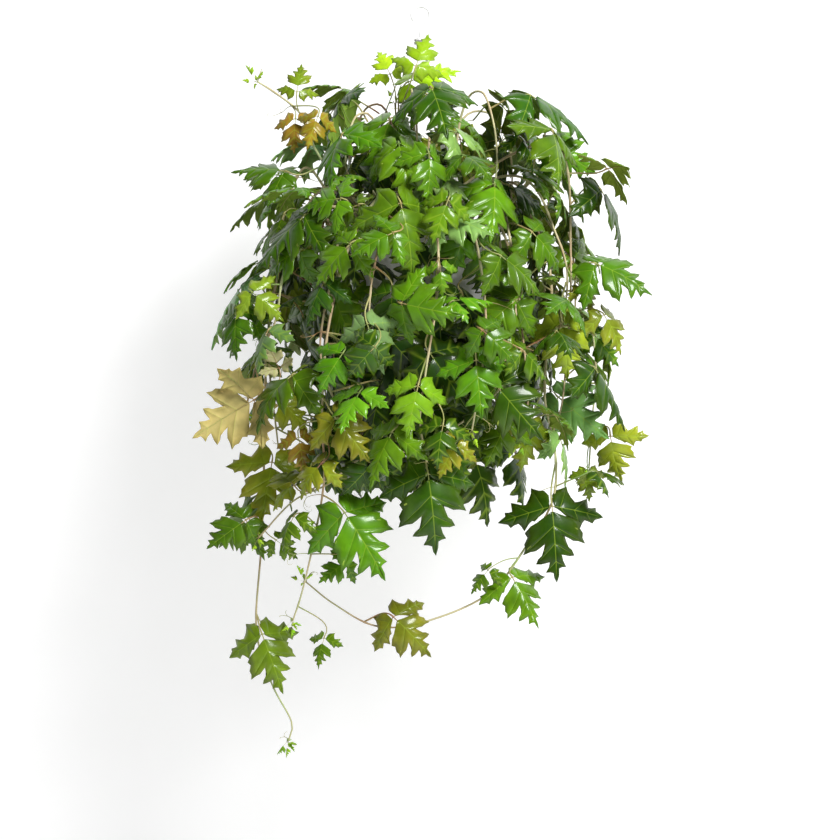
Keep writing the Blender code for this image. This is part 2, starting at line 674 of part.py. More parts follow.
def drawn_leaf(stem_points, leaf):
    """Root, junction, direction, upper side and size of a leaf of the front drawing."""
    (across, down, depth), (tip_across, tip_down), facing = leaf
    junction = at(across, down, depth)
    normal = Vector(FACES[facing]).normalized()
    flat = at(tip_across, tip_down, depth) - junction
    out = Vector((flat.x, -(flat.x * normal.x + flat.z * normal.z) / normal.y, flat.z))
    size = min(max(out.length / MM - TERMINAL_STALK, 24.0), 82.0)
    out.normalize()

    def strain(point):
        reach = junction - point
        return abs(reach.length / MM - PETIOLE_LENGTH) - BEHIND_WEIGHT * reach.normalized().dot(out)

    roots = [a.lerp(b, 0.5) for a, b in zip(stem_points[2:], stem_points[3:])]
    root = min(roots, key=strain)
    return root, junction, out, normal, size


def filler_route(ring, turn, draw):
    """A filling stem's route: up out of the pot, outwards and down again."""
    reach = draw.uniform(*ring["reach"])
    top = -POT_RIM_DOWN + draw.uniform(*ring["rise"])
    end = -POT_RIM_DOWN - draw.uniform(*ring["drop"])
    start = draw.uniform(*ring["soil"])
    sway = draw.uniform(-16, 16)
    fall = top - end
    shape = ((start + 0.30 * (reach - start), top - 0.16 * abs(fall), 0.2),
             (start + 0.68 * (reach - start), top, 0.5),
             (start + 0.94 * (reach - start), top - 0.30 * fall, 0.8), (reach, top - 0.65 * fall, 1.0),
             (reach - 8, end, 1.3))
    root = around(turn, start, 0.0) / MM
    route = [around(turn + sway * share, radius, height) for radius, height, share in shape]
    return (root.x, root.y), route


def filler_leaves(line, step, draw):
    """Root, junction, direction, upper side and size of leaves at even steps along a stem."""
    leaves = []
    travelled, side = step * 0.9, 1
    due = travelled
    run = 0.0
    for a, b in zip(line[1:], line[2:]):
        length = (b - a).length / MM
        while run + length >= due:
            root = a.lerp(b, 0.5)
            outward = Vector((root.x, root.y, 0)).normalized()
            sideways = Vector((-outward.y, outward.x, 0)) * side
            reach = (outward * 0.75 + sideways * draw.uniform(0.5, 0.95) + Vector((0, 0, 0.45))).normalized()
            junction = root + reach * draw.uniform(26, 40) * MM
            along = (outward * 0.6 + sideways * draw.uniform(0.1, 0.6)
                     - Vector((0, 0, draw.uniform(0.5, 1.0)))).normalized()
            normal = outward * draw.uniform(0.5, 1.0) + Vector((0, 0, draw.uniform(0.3, 0.9)))
            leaves.append((root, junction, along, normal, draw.uniform(*FILL_LEAF)))
            due += step * draw.uniform(0.85, 1.15)
            side = -side
        run += length
    return leaves


def grow(space):
    """Every stem with its leaves, as lines and points in metres."""
    stems = []
    for number, stem in enumerate(STEMS, 1):
        name = f"leafy_stem_{number:02d}"
        line = stem_line(stem["soil"], [at(*p) for p in stem["route"]], name, space)
        if line:
            stems.append({"name": name, "line": line, "wanted": [drawn_leaf(line, leaf)
                                                                 for leaf in stem["leaves"]],
                          "lobed": True, "leaves": []})
    draw = random.Random(FILL_SEED)
    roots = [stem["soil"] for stem in STEMS]
    for ring in (CROWN, TRAIL):
        for i in range(ring["count"]):
            turn = ring["first"] + 360.0 * i / ring["count"] + draw.uniform(-8, 8)
            if ring is TRAIL:
                low, high = FRONT_GAP_TURNS
                turn = high + (turn % 360) * (360 - (high - low)) / 360
            number += 1
            name = f"leafy_stem_{number:02d}"
            root, route = filler_route(ring, turn, draw)
            for _ in range(ROOT_TRIES):
                if min(math.dist(root, other) for other in roots) >= ROOT_SPACING:
                    break
                turn += ROOT_STEP
                root, route = filler_route(ring, turn, draw)
            roots.append(root)
            line = stem_line(root, route, name, space)
            if line:
                stems.append({"name": name, "line": line, "lobed": False, "leaves": [],
                              "wanted": filler_leaves(line, ring["leaf_step"], draw)})
    lobed = leaf_plan(LOBED_TERMINAL, LOBED_LATERAL)
    simple = leaf_plan(SIMPLE_TERMINAL, SIMPLE_LATERAL)
    for stem in stems:
        plan = lobed if stem["lobed"] else simple
        for i, (root, junction, along, normal, size) in enumerate(stem["wanted"]):
            leaf = place_leaf(f"{stem['name']}_{i}", stem["name"], root, junction, along, normal, size,
                              plan, space)
            if leaf:
                stem["leaves"].append(leaf)
    return stems


def make_stems(stems, collection):
    """One solid for each stem: its tube and its leaves, joined."""
    drafts = new_collection("drafts")
    bases, groups, curves = [], [], []
    for stem in stems:
        line = stem["line"]
        count = len(line) - 1
        radii = [STEM_RADIUS + (STEM_TIP_RADIUS - STEM_RADIUS) * i / count for i in range(count + 1)]
        curves.append(tube_curve(stem["name"], line, radii, 0, drafts))
    bases = curves_to_meshes(curves, collection)
    for stem in stems:
        group = new_collection(stem["name"] + "_repeats")
        groups.append(group)
        for i, leaf in enumerate(stem["leaves"]):
            mesh = bpy.data.meshes.new("leaf")
            mesh.from_pydata(leaf["points"], [], leaf["triangles"])
            blade = add_object(f"{stem['name']}_leaf_{i}", mesh, group)
            solid = blade.modifiers.new("thickness", "SOLIDIFY")
            solid.thickness = BLADE_THICKNESS * MM
            solid.offset = 0.0
            apply_modifiers(blade)
    join_all(bases, groups)
    bpy.data.collections.remove(drafts)
    for base in bases:
        base.data.materials.clear()
        base.data.materials.append(material("leafy_stem", base.name))


def main():
    clear_scene()
    ivy = new_collection("grape_ivy")
    cutters = new_collection("cutters")
    space = Space()
    fixed_things(space)
    stems = grow(space)
    make_pot(ivy)
    make_soil(ivy, cutters, [stem["line"][0] for stem in stems])
    make_hook(ivy)
    for number, turn in enumerate(STRAP_TURNS, 1):
        make_strap(number, turn, ivy)
    make_stems(stems, ivy)
    wanted = sum(len(stem["wanted"]) for stem in stems)
    print("stems", len(stems), "leaves", sum(len(stem["leaves"]) for stem in stems), "of", wanted)


main()
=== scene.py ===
"""Looks of a grape ivy in a white hanging pot: fine leaves, vines, tendrils, soil and plastic."""
from __future__ import annotations

import json
import logging
import math
from dataclasses import dataclass, field
from enum import Enum
from random import Random

import bmesh
import bpy
import numpy as np
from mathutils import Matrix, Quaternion, Vector
from mathutils.bvhtree import BVHTree

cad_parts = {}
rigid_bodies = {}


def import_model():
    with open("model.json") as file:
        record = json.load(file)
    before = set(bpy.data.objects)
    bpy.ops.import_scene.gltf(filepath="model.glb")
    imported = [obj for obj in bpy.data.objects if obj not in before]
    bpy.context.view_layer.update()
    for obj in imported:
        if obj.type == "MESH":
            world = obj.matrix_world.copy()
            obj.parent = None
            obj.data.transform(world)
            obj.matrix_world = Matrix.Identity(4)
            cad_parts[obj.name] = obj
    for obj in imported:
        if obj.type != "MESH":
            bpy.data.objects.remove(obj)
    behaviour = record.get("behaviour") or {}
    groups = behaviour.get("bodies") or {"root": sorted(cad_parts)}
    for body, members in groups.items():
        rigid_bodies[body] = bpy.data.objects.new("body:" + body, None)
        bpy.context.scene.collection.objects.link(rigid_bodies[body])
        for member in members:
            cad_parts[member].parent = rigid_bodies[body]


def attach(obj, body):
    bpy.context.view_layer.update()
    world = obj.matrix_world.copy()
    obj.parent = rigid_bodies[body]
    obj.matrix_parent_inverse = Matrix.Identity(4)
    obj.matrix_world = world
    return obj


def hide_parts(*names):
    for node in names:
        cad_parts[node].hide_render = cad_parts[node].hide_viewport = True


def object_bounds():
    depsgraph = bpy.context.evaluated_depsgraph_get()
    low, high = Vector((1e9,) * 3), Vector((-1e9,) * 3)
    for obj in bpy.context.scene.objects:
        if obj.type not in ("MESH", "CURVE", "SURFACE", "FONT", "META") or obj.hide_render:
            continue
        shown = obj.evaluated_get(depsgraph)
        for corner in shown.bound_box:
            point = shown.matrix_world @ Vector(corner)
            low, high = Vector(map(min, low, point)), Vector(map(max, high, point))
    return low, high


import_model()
CAD_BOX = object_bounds()

LOG = logging.getLogger("grape_ivy")
MM = 0.001
Socket = bpy.types.NodeSocket
Material = bpy.types.Material
Piece = bpy.types.Object
Pair = tuple[float, float]
Triple = tuple[float, float, float]
Faces = list[tuple[int, ...]]
Stops = tuple[tuple[float, Triple], ...]
Inputs = dict[int | str, object]
Entry = tuple[str, Vector, float, BVHTree]


class Tone(Enum):
    """Leaf colours in linear light: the upper side, then the underside; two of them carry painted light,
    a painted shade and a painted sheen.
    """

    MATURE = ((0.064, 0.170, 0.002), (0.17, 0.26, 0.015))
    DARK = ((0.020, 0.072, 0.0008), (0.10, 0.17, 0.008))
    # Painted shade: a leaf colour darkened to stand in for the shade deep inside the bush, given to the
    # inner leaves round the pot
    SHADE = ((0.009, 0.040, 0.001), (0.04, 0.08, 0.006))
    LIME = ((0.270, 0.520, 0.010), (0.32, 0.48, 0.06))
    FRESH = ((0.100, 0.265, 0.006), (0.20, 0.32, 0.03))
    OLIVE = ((0.170, 0.240, 0.010), (0.26, 0.31, 0.04))
    BEIGE = ((0.460, 0.410, 0.180), (0.44, 0.40, 0.18))
    BRONZE = ((0.220, 0.150, 0.012), (0.28, 0.21, 0.04))
    # Painted sheen: a leaf colour greyed and blued to stand in for the reflection of the bright
    # surroundings, given mostly to leaves that face up at the top of the bush
    SILVER = ((0.140, 0.290, 0.075), (0.26, 0.36, 0.12))


TONE_LETTERS = {"M": Tone.MATURE, "D": Tone.DARK, "H": Tone.SHADE, "L": Tone.LIME, "F": Tone.FRESH,
                "O": Tone.OLIVE, "B": Tone.BEIGE, "Z": Tone.BRONZE, "S": Tone.SILVER}
# S among these letters gives a leaf the painted sheen tone
FILL_TONES = "MMMMMMDDDDSMM"


class Facing(Enum):
    """The way a blade's upper side faces: across, depth and height."""

    FRONT = (0.05, -1.0, 0.30)
    UP = (0.0, -0.62, 0.85)
    LEFT = (-0.55, -0.85, 0.35)
    RIGHT = (0.55, -0.85, 0.35)
    BACK = (0.15, 0.90, 0.15)


FRONT, UP, LEFT, RIGHT, BACK = Facing


class Detail(Enum):
    """How finely a leaflet is laid out: columns from the midrib out, their puff, and whether rows
    lie close on both sides of a vein."""

    FINE = ((0.0, 0.12, 0.35, 0.70, 1.0), (-0.25, 0.0, 1.0, 0.85, 0.30), True)
    PLAIN = ((0.0, 0.12, 0.60, 1.0), (-0.25, 0.0, 0.9, 0.30), False)
    TINY = ((0.0, 0.60, 1.0), (-0.25, 0.8, 0.30), False)


@dataclass(frozen=True)
class PotSizes:
    """The pot's sizes in mm; its rim is given down from the hook's bearing point."""

    rim_down: float = 220.0
    height: float = 122.0
    top_radius: float = 75.0
    base_radius: float = 54.0
    wall: float = 2.6
    lip_width: float = 4.0
    lip_height: float = 9.0
    sides: int = 24
    soil_below_rim: float = 12.0
    root_depth: float = 22.0

    @property
    def rim(self) -> float:
        """The rim's height."""
        return -self.rim_down

    @property
    def soil_top(self) -> float:
        """The soil's height."""
        return self.rim - self.soil_below_rim

    @property
    def base(self) -> float:
        """The height of the pot's underside."""
        return self.rim - self.height


@dataclass(frozen=True)
class HangerSizes:
    """The hook's and the straps' sizes in mm and degrees."""

    wire_radius: float = 1.6
    hook_radius: float = 9.0
    tip_turn: float = 215.0
    start_turn: float = -52.0
    shank_bottom: float = 33.0
    spool_radius: float = 7.0
    spool_neck: float = 3.0
    spool_disc: float = 2.0
    strap_width: float = 5.0
    strap_thickness: float = 1.2
    strap_turns: Triple = (-58.0, 62.0, 182.0)
    strap_top_reach: float = 8.0
    strap_foot: float = 3.0
    gap: float = 0.3


@dataclass(frozen=True)
class GrowthSizes:
    """Sizes of stems, petioles and leaves in mm and degrees, and the tries a leaf gets."""

    stem_radius: float = 1.5
    stem_tip_radius: float = 0.8
    stem_tries: int = 60
    stem_shift: float = 0.9
    neck_rise: float = 3.0
    stem_step: float = 30.0
    fine_step: float = 6.0
    petiole_radius: float = 0.8
    petiole_length: float = 34.0
    petiole_bow: float = 0.12
    behind_weight: float = 14.0
    stem_spare: float = 0.5
    blade_spare: float = 0.75
    blade_half: float = 0.22
    leaf_sizes: Pair = (24.0, 82.0)
    arch: Pair = (0.35, 0.95)
    fold: Pair = (0.05, 0.42)
    droop: Pair = (4.0, 26.0)
    tries: int = 22
    shift: float = 1.3
    lean: float = 0.045
    tilt: float = 0.05
    root_spacing: float = 6.5
    root_tries: int = 40
    root_step: float = 2.0
    lateral_turn: float = 80.0
    lateral_scale: float = 0.8
    terminal_stalk: float = 6.0
    lateral_stalk: float = 2.5


@dataclass(frozen=True)
class FrontDrawing:
    """The front drawing: mm across and down from its top left corner, seen from a distance."""

    distance: float = 2400.0
    centre: float = 420.0
    hook_across: float = 421.0
    hook_down: float = 8.0

    def at(self, across: float, down: float, depth: float) -> Vector:
        """A point of the drawing, in metres from the hook's bearing point.

        Args:
            across: mm from the drawing's left edge.
            down: mm from its top edge.
            depth: mm behind the hook.

        Returns:
            The point.
        """
        spread = 1.0 + depth / self.distance
        x = self.centre - self.hook_across + (across - self.centre) * spread
        z = self.hook_down - self.centre - (down - self.centre) * spread
        return Vector((x, depth, z)) * MM


@dataclass(frozen=True)
class StemDrawing:
    """A stem of the front view: its place in the soil, its route, its leaves and their tones."""

    soil: Pair
    route: tuple[Triple, ...]
    leaves: tuple[tuple[Triple, Pair, Facing], ...]
    tones: str


@dataclass(frozen=True)
class Ring:
    """A ring of filling stems: how many there are and the ranges their sizes are drawn from."""

    count: int
    first: float
    soil: Pair
    reach: Pair
    rise: Pair
    drop: Pair
    leaf_step: float


@dataclass(frozen=True)
class FillLeaf:
    """Leaves of the filling stems: mm, and shares of outwards, sideways and up or down."""

    size: Pair = (56.0, 72.0)
    stalk: Pair = (26.0, 40.0)
    stalk_out: float = 0.75
    stalk_aside: Pair = (0.5, 0.95)
    stalk_up: float = 0.45
    tip_out: float = 0.6
    tip_aside: Pair = (0.1, 0.6)
    tip_down: Pair = (0.5, 1.0)
    face_out: Pair = (0.5, 1.0)
    face_up: Pair = (0.3, 0.9)


@dataclass(frozen=True)
class YoungLeaf:
    """Small leaves along every stem, fewer and smaller on the bare trailing ends; mm and shares."""

    seed: int = 97
    size: Pair = (32.0, 54.0)
    stalk: Pair = (12.0, 26.0)
    share: float = 0.5
    bare_share: float = 0.12
    bare_scale: float = 0.6
    bare_below: float = -500.0
    stalk_out: float = 0.7
    stalk_up: float = 0.4
    tip_out: float = 0.5
    tip_aside: Pair = (0.2, 0.9)
    tip_down: Pair = (0.1, 0.9)
    face_out: float = 0.8
    face_up: float = 0.75


@dataclass(frozen=True)
class InnerLeaf:
    """Inner leaves round the pot, coloured mostly as painted shade for the dark inside of the bush: how
    many are tried, and ranges in mm, degrees and shares.
    """

    seed: int = 12
    count: int = 800
    # Tone letters, mostly H, the painted shade tone
    tones: str = "HHDHHDHM"
    front_share: float = 0.55
    front: Pair = (185.0, 355.0)
    back: Pair = (-20.0, 200.0)
    height: Pair = (-440.0, -135.0)
    beside_pot: Pair = (88.0, 124.0)
    off_pot: Pair = (30.0, 118.0)
    pot_spare: float = 20.0
    size: Pair = (46.0, 66.0)
    stalk: float = 22.0
    reach: float = 75.0
    tip_aside: Pair = (-0.7, 0.7)
    tip_out: float = 0.15
    tip_down: float = 0.8
    face_up: Pair = (0.15, 0.6)
    face_aside: Pair = (-0.3, 0.3)


POT = PotSizes()
HANGER = HangerSizes()
GROWTH = GrowthSizes()
DRAWING = FrontDrawing()
FILL_LEAF = FillLeaf()
YOUNG_LEAF = YoungLeaf()
INNER_LEAF = InnerLeaf()
PETIOLE_STOPS = (0.0, 0.36, 0.72, 1.0)
HUB = ((-1.6, 2.0), (1.6, 2.0), (1.6, -1.6), (-1.6, -1.6))
LOBED_TERMINAL = {
    "right": ((0.42, 0.26), (0.46, 0.585), (0.15, 0.45), (0.284, 0.73), (0.09, 0.71)),
    "left": ((-0.45, 0.46), (-0.13, 0.40), (-0.295, 0.63), (-0.09, 0.67)),
    "middle": ((0.0, 0.33), (0.0, 0.66)),
}
LOBED_LATERAL = {
    "right": ((0.46, 0.25), (0.17, 0.41), (0.30, 0.68)),
    "left": ((-0.27, 0.54),),
    "middle": ((0.0, 0.45),),
}
SIMPLE_TERMINAL = {
    "right": ((0.44, 0.50), (0.15, 0.47), (0.27, 0.73)),
    "left": ((-0.44, 0.42), (-0.13, 0.42), (-0.28, 0.63)),
    "middle": ((0.0, 0.40),),
}
SIMPLE_LATERAL = {
    "right": ((0.44, 0.25), (0.16, 0.40), (0.29, 0.67)),
    "left": ((-0.25, 0.50),),
    "middle": ((0.0, 0.42),),
}

# Fine half outlines, base to tip: across, along, foot on the midrib, and 1 where a side vein runs
TERMINAL_ROWS = (
    (0.02, 0.0, 0.0, 0), (0.12, 0.06, 0.02, 0), (0.24, 0.13, 0.04, 0), (0.33, 0.17, 0.06, 0),
    (0.42, 0.26, 0.10, 0), (0.385, 0.33, 0.13, 0), (0.44, 0.43, 0.16, 0), (0.43, 0.50, 0.18, 0),
    (0.46, 0.585, 0.20, 1), (0.36, 0.55, 0.23, 0), (0.28, 0.54, 0.25, 0), (0.22, 0.50, 0.28, 0),
    (0.15, 0.45, 0.32, 0), (0.17, 0.53, 0.36, 0), (0.20, 0.62, 0.39, 0), (0.25, 0.66, 0.42, 0),
    (0.284, 0.73, 0.45, 1), (0.21, 0.735, 0.50, 0), (0.14, 0.72, 0.55, 0), (0.09, 0.71, 0.60, 0),
    (0.11, 0.78, 0.66, 0), (0.15, 0.85, 0.70, 1), (0.09, 0.85, 0.76, 0), (0.045, 0.86, 0.80, 0),
    (0.035, 0.93, 0.88, 0), (0.0, 1.0, 0.97, 0),
)
OUTER_ROWS = (
    (0.02, 0.0, 0.0, 0), (0.10, -0.02, 0.01, 0), (0.22, -0.04, 0.03, 0), (0.34, 0.02, 0.05, 0),
    (0.38, 0.12, 0.07, 0), (0.46, 0.25, 0.11, 1), (0.36, 0.27, 0.15, 0), (0.26, 0.33, 0.19, 0),
    (0.17, 0.41, 0.25, 0), (0.20, 0.50, 0.30, 0), (0.25, 0.58, 0.34, 0), (0.30, 0.68, 0.38, 1),
    (0.20, 0.68, 0.46, 0), (0.12, 0.68, 0.52, 0), (0.13, 0.76, 0.58, 0), (0.155, 0.84, 0.63, 1),
    (0.08, 0.84, 0.72, 0), (0.03, 0.93, 0.86, 0), (0.0, 1.0, 0.97, 0),
)
INNER_MARGIN = (
    (0.02, 0.0), (0.04, 0.04), (0.06, 0.09), (0.09, 0.16), (0.12, 0.24), (0.18, 0.33), (0.16, 0.37),
    (0.18, 0.42), (0.20, 0.46), (0.22, 0.49), (0.24, 0.52), (0.28, 0.58), (0.19, 0.60), (0.13, 0.63),
    (0.14, 0.71), (0.16, 0.79), (0.09, 0.82), (0.04, 0.92), (0.0, 1.0),
)
Rows = tuple[tuple[float, float, float, int], ...]

STEMS = (
    StemDrawing((-12, 2), ((408, 190, -6), (398, 140, -14), (395, 104, -18)),
        (((402, 80, -20), (430, 34), FRONT), ((404, 104, -34), (384, 142), UP),
        ((372, 118, -30), (340, 96), UP)), "LSM"),
    StemDrawing((-40, -12), ((352, 200, -42), (318, 154, -58), (302, 116, -62), (280, 96, -64),
        (258, 82, -64)),
        (((296, 92, -66), (299, 60), FRONT), ((303, 112, -72), (308, 148), FRONT),
        ((331, 112, -66), (327, 150), RIGHT), ((285, 171, -66), (228, 162), UP),
        ((352, 160, -84), (330, 205), FRONT)), "OZDMM"),
    StemDrawing((18, -34), ((438, 196, -64), (450, 170, -78), (461, 154, -84)),
        (((462, 140, -88), (516, 126), UP), ((444, 184, -104), (488, 206), RIGHT),
        ((446, 226, -128), (502, 240), UP), ((438, 128, -70), (418, 92), UP)), "SSSM"),
    StemDrawing((44, -14), ((484, 186, -44), (516, 176, -58), (538, 192, -66), (554, 229, -72),
        (566, 264, -72), (566, 300, -70), (556, 340, -74)),
        (((549, 144, -62), (580, 190), FRONT), ((552, 206, -84), (582, 226), RIGHT),
        ((582, 288, -80), (598, 314), RIGHT), ((562, 322, -92), (570, 380), FRONT),
        ((512, 204, -98), (506, 262), FRONT)), "MMOOD"),
    StemDrawing((-6, -52), ((410, 200, -92), (400, 190, -116), (384, 226, -146), (372, 280, -160),
        (368, 330, -160)),
        (((400, 210, -150), (404, 286), FRONT), ((366, 320, -172), (390, 368), FRONT),
        ((352, 246, -156), (316, 290), LEFT), ((364, 178, -120), (330, 214), LEFT),
        ((398, 296, -146), (404, 350), FRONT)), "MSMMD"),
    StemDrawing((-44, -26), ((342, 188, -66), (306, 222, -92), (284, 272, -102), (276, 319, -102),
        (262, 350, -98), (251, 384, -94), (246, 412, -90)),
        (((300, 250, -112), (252, 272), LEFT), ((236, 312, -104), (234, 360), LEFT),
        ((252, 292, -116), (286, 320), FRONT), ((279, 368, -112), (268, 342), BACK),
        ((254, 400, -104), (190, 436), BACK), ((300, 330, -128), (328, 376), FRONT)), "MMOBBD"),
    StemDrawing((50, 6), ((508, 190, -14), (544, 246, -34), (552, 306, -44), (547, 350, -52),
        (545, 400, -56), (555, 450, -56), (553, 499, -56), (527, 545, -58), (488, 594, -60),
        (424, 622, -60), (376, 626, -60), (334, 604, -60), (306, 582, -62)),
        (((590, 332, -64), (620, 362), FRONT), ((552, 506, -66), (558, 580), FRONT),
        ((506, 584, -66), (534, 634), FRONT), ((486, 572, -66), (474, 598), LEFT),
        ((392, 614, -66), (431, 656), FRONT), ((538, 424, -76), (534, 474), FRONT)), "MDMMOO"),
    StemDrawing((46, 24), ((508, 182, 22), (556, 234, 8), (586, 300, -2), (596, 370, -14),
        (592, 420, -24), (589, 468, -28)),
        (((572, 390, -40), (628, 414), UP), ((590, 420, -40), (590, 476), FRONT),
        ((588, 472, -36), (590, 502), FRONT), ((572, 262, -24), (596, 226), RIGHT)), "SOOM"),
    StemDrawing((-22, -44), ((384, 194, -84), (350, 244, -124), (328, 330, -142), (322, 410, -134),
        (324, 479, -120), (314, 540, -108), (302, 592, -98), (293, 620, -92)),
        (((344, 512, -128), (390, 576), FRONT), ((324, 638, -90), (315, 668), LEFT),
        ((336, 418, -150), (372, 462), FRONT), ((326, 466, -138), (296, 500), LEFT),
        ((324, 282, -144), (300, 326), LEFT), ((366, 392, -158), (332, 414), UP)), "MMOODF"),
    StemDrawing((-48, 10), ((326, 186, -6), (286, 252, -26), (268, 334, -38), (264, 430, -46),
        (261, 538, -54), (257, 626, -58), (272, 681, -58), (291, 722, -58), (289, 738, -58)),
        (((272, 462, -62), (262, 524), FRONT), ((250, 524, -60), (203, 548), LEFT),
        ((272, 536, -66), (297, 562), FRONT), ((262, 634, -66), (285, 692), FRONT),
        ((284, 214, -34), (268, 252), LEFT), ((276, 396, -60), (312, 430), FRONT)), "OMOOMO"),
    StemDrawing((30, -36), ((462, 202, -92), (478, 250, -128), (486, 320, -148), (482, 370, -154),
        (472, 430, -146)),
        (((454, 300, -160), (495, 290), UP), ((476, 360, -168), (482, 418), FRONT),
        ((455, 444, -152), (438, 478), FRONT), ((474, 446, -148), (470, 494), RIGHT),
        ((492, 262, -146), (540, 296), RIGHT), ((470, 232, -126), (464, 286), FRONT)), "FMOOMM"),
    StemDrawing((6, -48), ((430, 200, -98), (438, 244, -140), (436, 304, -160), (426, 370, -164),
        (420, 420, -154), (427, 462, -144)),
        (((440, 266, -166), (444, 298), FRONT), ((418, 386, -172), (406, 438), FRONT),
        ((428, 474, -150), (440, 556), FRONT), ((410, 310, -172), (440, 366), FRONT),
        ((392, 432, -160), (362, 488), LEFT), ((448, 326, -150), (456, 378), FRONT)), "FFDMMM"),
    StemDrawing((38, -26), ((496, 196, -74), (514, 262, -106), (522, 330, -118), (528, 400, -112),
        (520, 440, -100)),
        (((498, 374, -134), (558, 414), FRONT), ((516, 300, -136), (470, 338), FRONT),
        ((540, 330, -126), (520, 378), RIGHT), ((508, 424, -118), (486, 468), FRONT),
        ((532, 232, -112), (572, 270), RIGHT)), "DMDMM"),
    StemDrawing((24, 14), ((474, 186, 4), (508, 270, -60), (500, 360, -116), (462, 420, -130),
        (404, 456, -128), (350, 465, -122), (322, 482, -110), (290, 506, -96), (266, 536, -84)),
        (((376, 478, -134), (350, 520), FRONT), ((296, 486, -108), (270, 462), UP),
        ((478, 396, -142), (440, 404), UP)), "DOM"),
)
FILL_SEED = 41
CROWN = Ring(6, 24.0, (12, 40), (62, 116), (74, 128), (-36, 8), 60.0)
TRAIL = Ring(9, 8.0, (46, 58), (118, 158), (26, 62), (150, 238), 78.0)
FRONT_GAP_TURNS = (235.0, 322.0)

# A filling stem's way up: shares of its reach, of its fall and of its sway
RISE = ((0.30, 0.16, 0.2), (0.68, 0.0, 0.5), (0.94, 0.30, 0.8))

# Further leaves of the front view: junction, tip, facing, tone and stem, or 0 for the nearest stem
NEAR_LEAVES = (
    ((416, 66, -72), (430, 26), FRONT, "L", 1), ((390, 74, -40), (376, 44), FRONT, "L", 1),
    ((540, 150, -84), (596, 156), UP, "M", 4), ((318, 116, -92), (306, 150), FRONT, "Z", 2),
    ((246, 520, -86), (206, 548), FRONT, "M", 10), ((276, 540, -92), (298, 556), FRONT, "M", 10),
    ((300, 436, -122), (310, 472), FRONT, "Z", 0), ((346, 562, -112), (318, 582), FRONT, "F", 9),
    ((488, 570, -80), (470, 592), LEFT, "M", 7), ((598, 430, -62), (594, 480), FRONT, "O", 8),
    ((596, 318, -78), (614, 358), FRONT, "O", 4), ((392, 232, -172), (352, 258), LEFT, "M", 0),
    ((430, 262, -176), (414, 320), FRONT, "D", 0), ((344, 352, -170), (316, 392), FRONT, "M", 0),
    ((440, 420, -176), (424, 462), FRONT, "D", 0), ((420, 160, -120), (396, 204), FRONT, "M", 0),
    ((482, 330, -182), (520, 362), FRONT, "M", 0), ((384, 350, -186), (352, 384), FRONT, "D", 0),
    ((520, 350, -158), (548, 384), RIGHT, "M", 0), ((340, 196, -130), (296, 214), LEFT, "M", 0),
    ((470, 150, -112), (500, 176), UP, "M", 0), ((360, 138, -76), (338, 176), LEFT, "D", 0),
    ((448, 200, -158), (432, 244), FRONT, "M", 0),
)


def around(turn: float, radius: float, height: float) -> Vector:
    """A point about the pot's axis.

    Args:
        turn: degrees from the right hand side.
        radius: mm from the axis.
        height: mm above the hook's bearing point.

    Returns:
        The point in metres.
    """
    angle = math.radians(turn)
    return Vector((radius * math.cos(angle), radius * math.sin(angle), height)) * MM


def smooth_line(points: list[Vector], step: float) -> list[Vector]:
    """Points on a smooth curve through the given ones.

    Args:
        points: the points it passes.
        step: mm between points of the result, about.

    Returns:
        The curve's points in metres.
    """
    ends = [points[0] * 2 - points[1]] + points + [points[-1] * 2 - points[-2]]
    line = [points[0].copy()]
    for a, b, c, d in zip(ends, ends[1:], ends[2:], ends[3:]):
        pieces = max(1, round((c - b).length / (step * MM)))
        for i in range(1, pieces + 1):
            t = i / pieces
            line.append(0.5 * (2 * b + (c - a) * t + (2 * a - 5 * b + 4 * c - d) * t * t
                               + (3 * b - a - 3 * c + d) * t * t * t))
    return line


def ring_faces(rings: int, sides: int) -> Faces:
    """Faces between neighbouring rings of points.

    Args:
        rings: how many rings there are.
        sides: how many points each ring has.

    Returns:
        The faces, ring by ring.
    """
    return [(low + k, low + (k + 1) % sides, low + sides + (k + 1) % sides, low + sides + k)
            for low in range(0, (rings - 1) * sides, sides) for k in range(sides)]


def tube_faces(points: list[Vector], radii: float | list[float], sides: int,
               capped: bool = False) -> tuple[list[Vector], Faces]:
    """A plain tube.

    Args:
        points: its centre line in metres.
        radii: one radius in mm, or one for each point.
        sides: how many sides it has.
        capped: whether its ends are closed.

    Returns:
        Vertices and faces.
    """
    verts, faces = [], ring_faces(len(points), sides)
    side = (points[1] - points[0]).orthogonal().normalized()
    for i, point in enumerate(points):
        ahead = (points[min(i + 1, len(points) - 1)] - points[max(i - 1, 0)]).normalized()
        side = (side - ahead * side.dot(ahead)).normalized()
        other = ahead.cross(side)
        radius = radii[i] if isinstance(radii, list) else radii
        for k in range(sides):
            angle = 2 * math.pi * k / sides
            verts.append(point + (side * math.cos(angle) + other * math.sin(angle)) * radius * MM)
    if capped:
        faces.append(tuple(range(sides))[::-1])
        faces.append(tuple(range(len(verts) - sides, len(verts))))
    return verts, faces


def new_mesh(name: str, verts: list, faces: Faces) -> bpy.types.Mesh:
    """A mesh of points and faces.

    Args:
        name: its name.
        verts: its points in metres.
        faces: its faces.

    Returns:
        The mesh.
    """
    mesh = bpy.data.meshes.new(name)
    mesh.from_pydata(verts, [], faces)
    return mesh


def new_object(name: str, mesh: bpy.types.Mesh) -> Piece:
    """Put a mesh into the scene.

    Args:
        name: the name that mesh and object get.
        mesh: the mesh.

    Returns:
        The object.
    """
    mesh.name = name
    made = bpy.data.objects.new(name, mesh)
    bpy.context.scene.collection.objects.link(made)
    return made


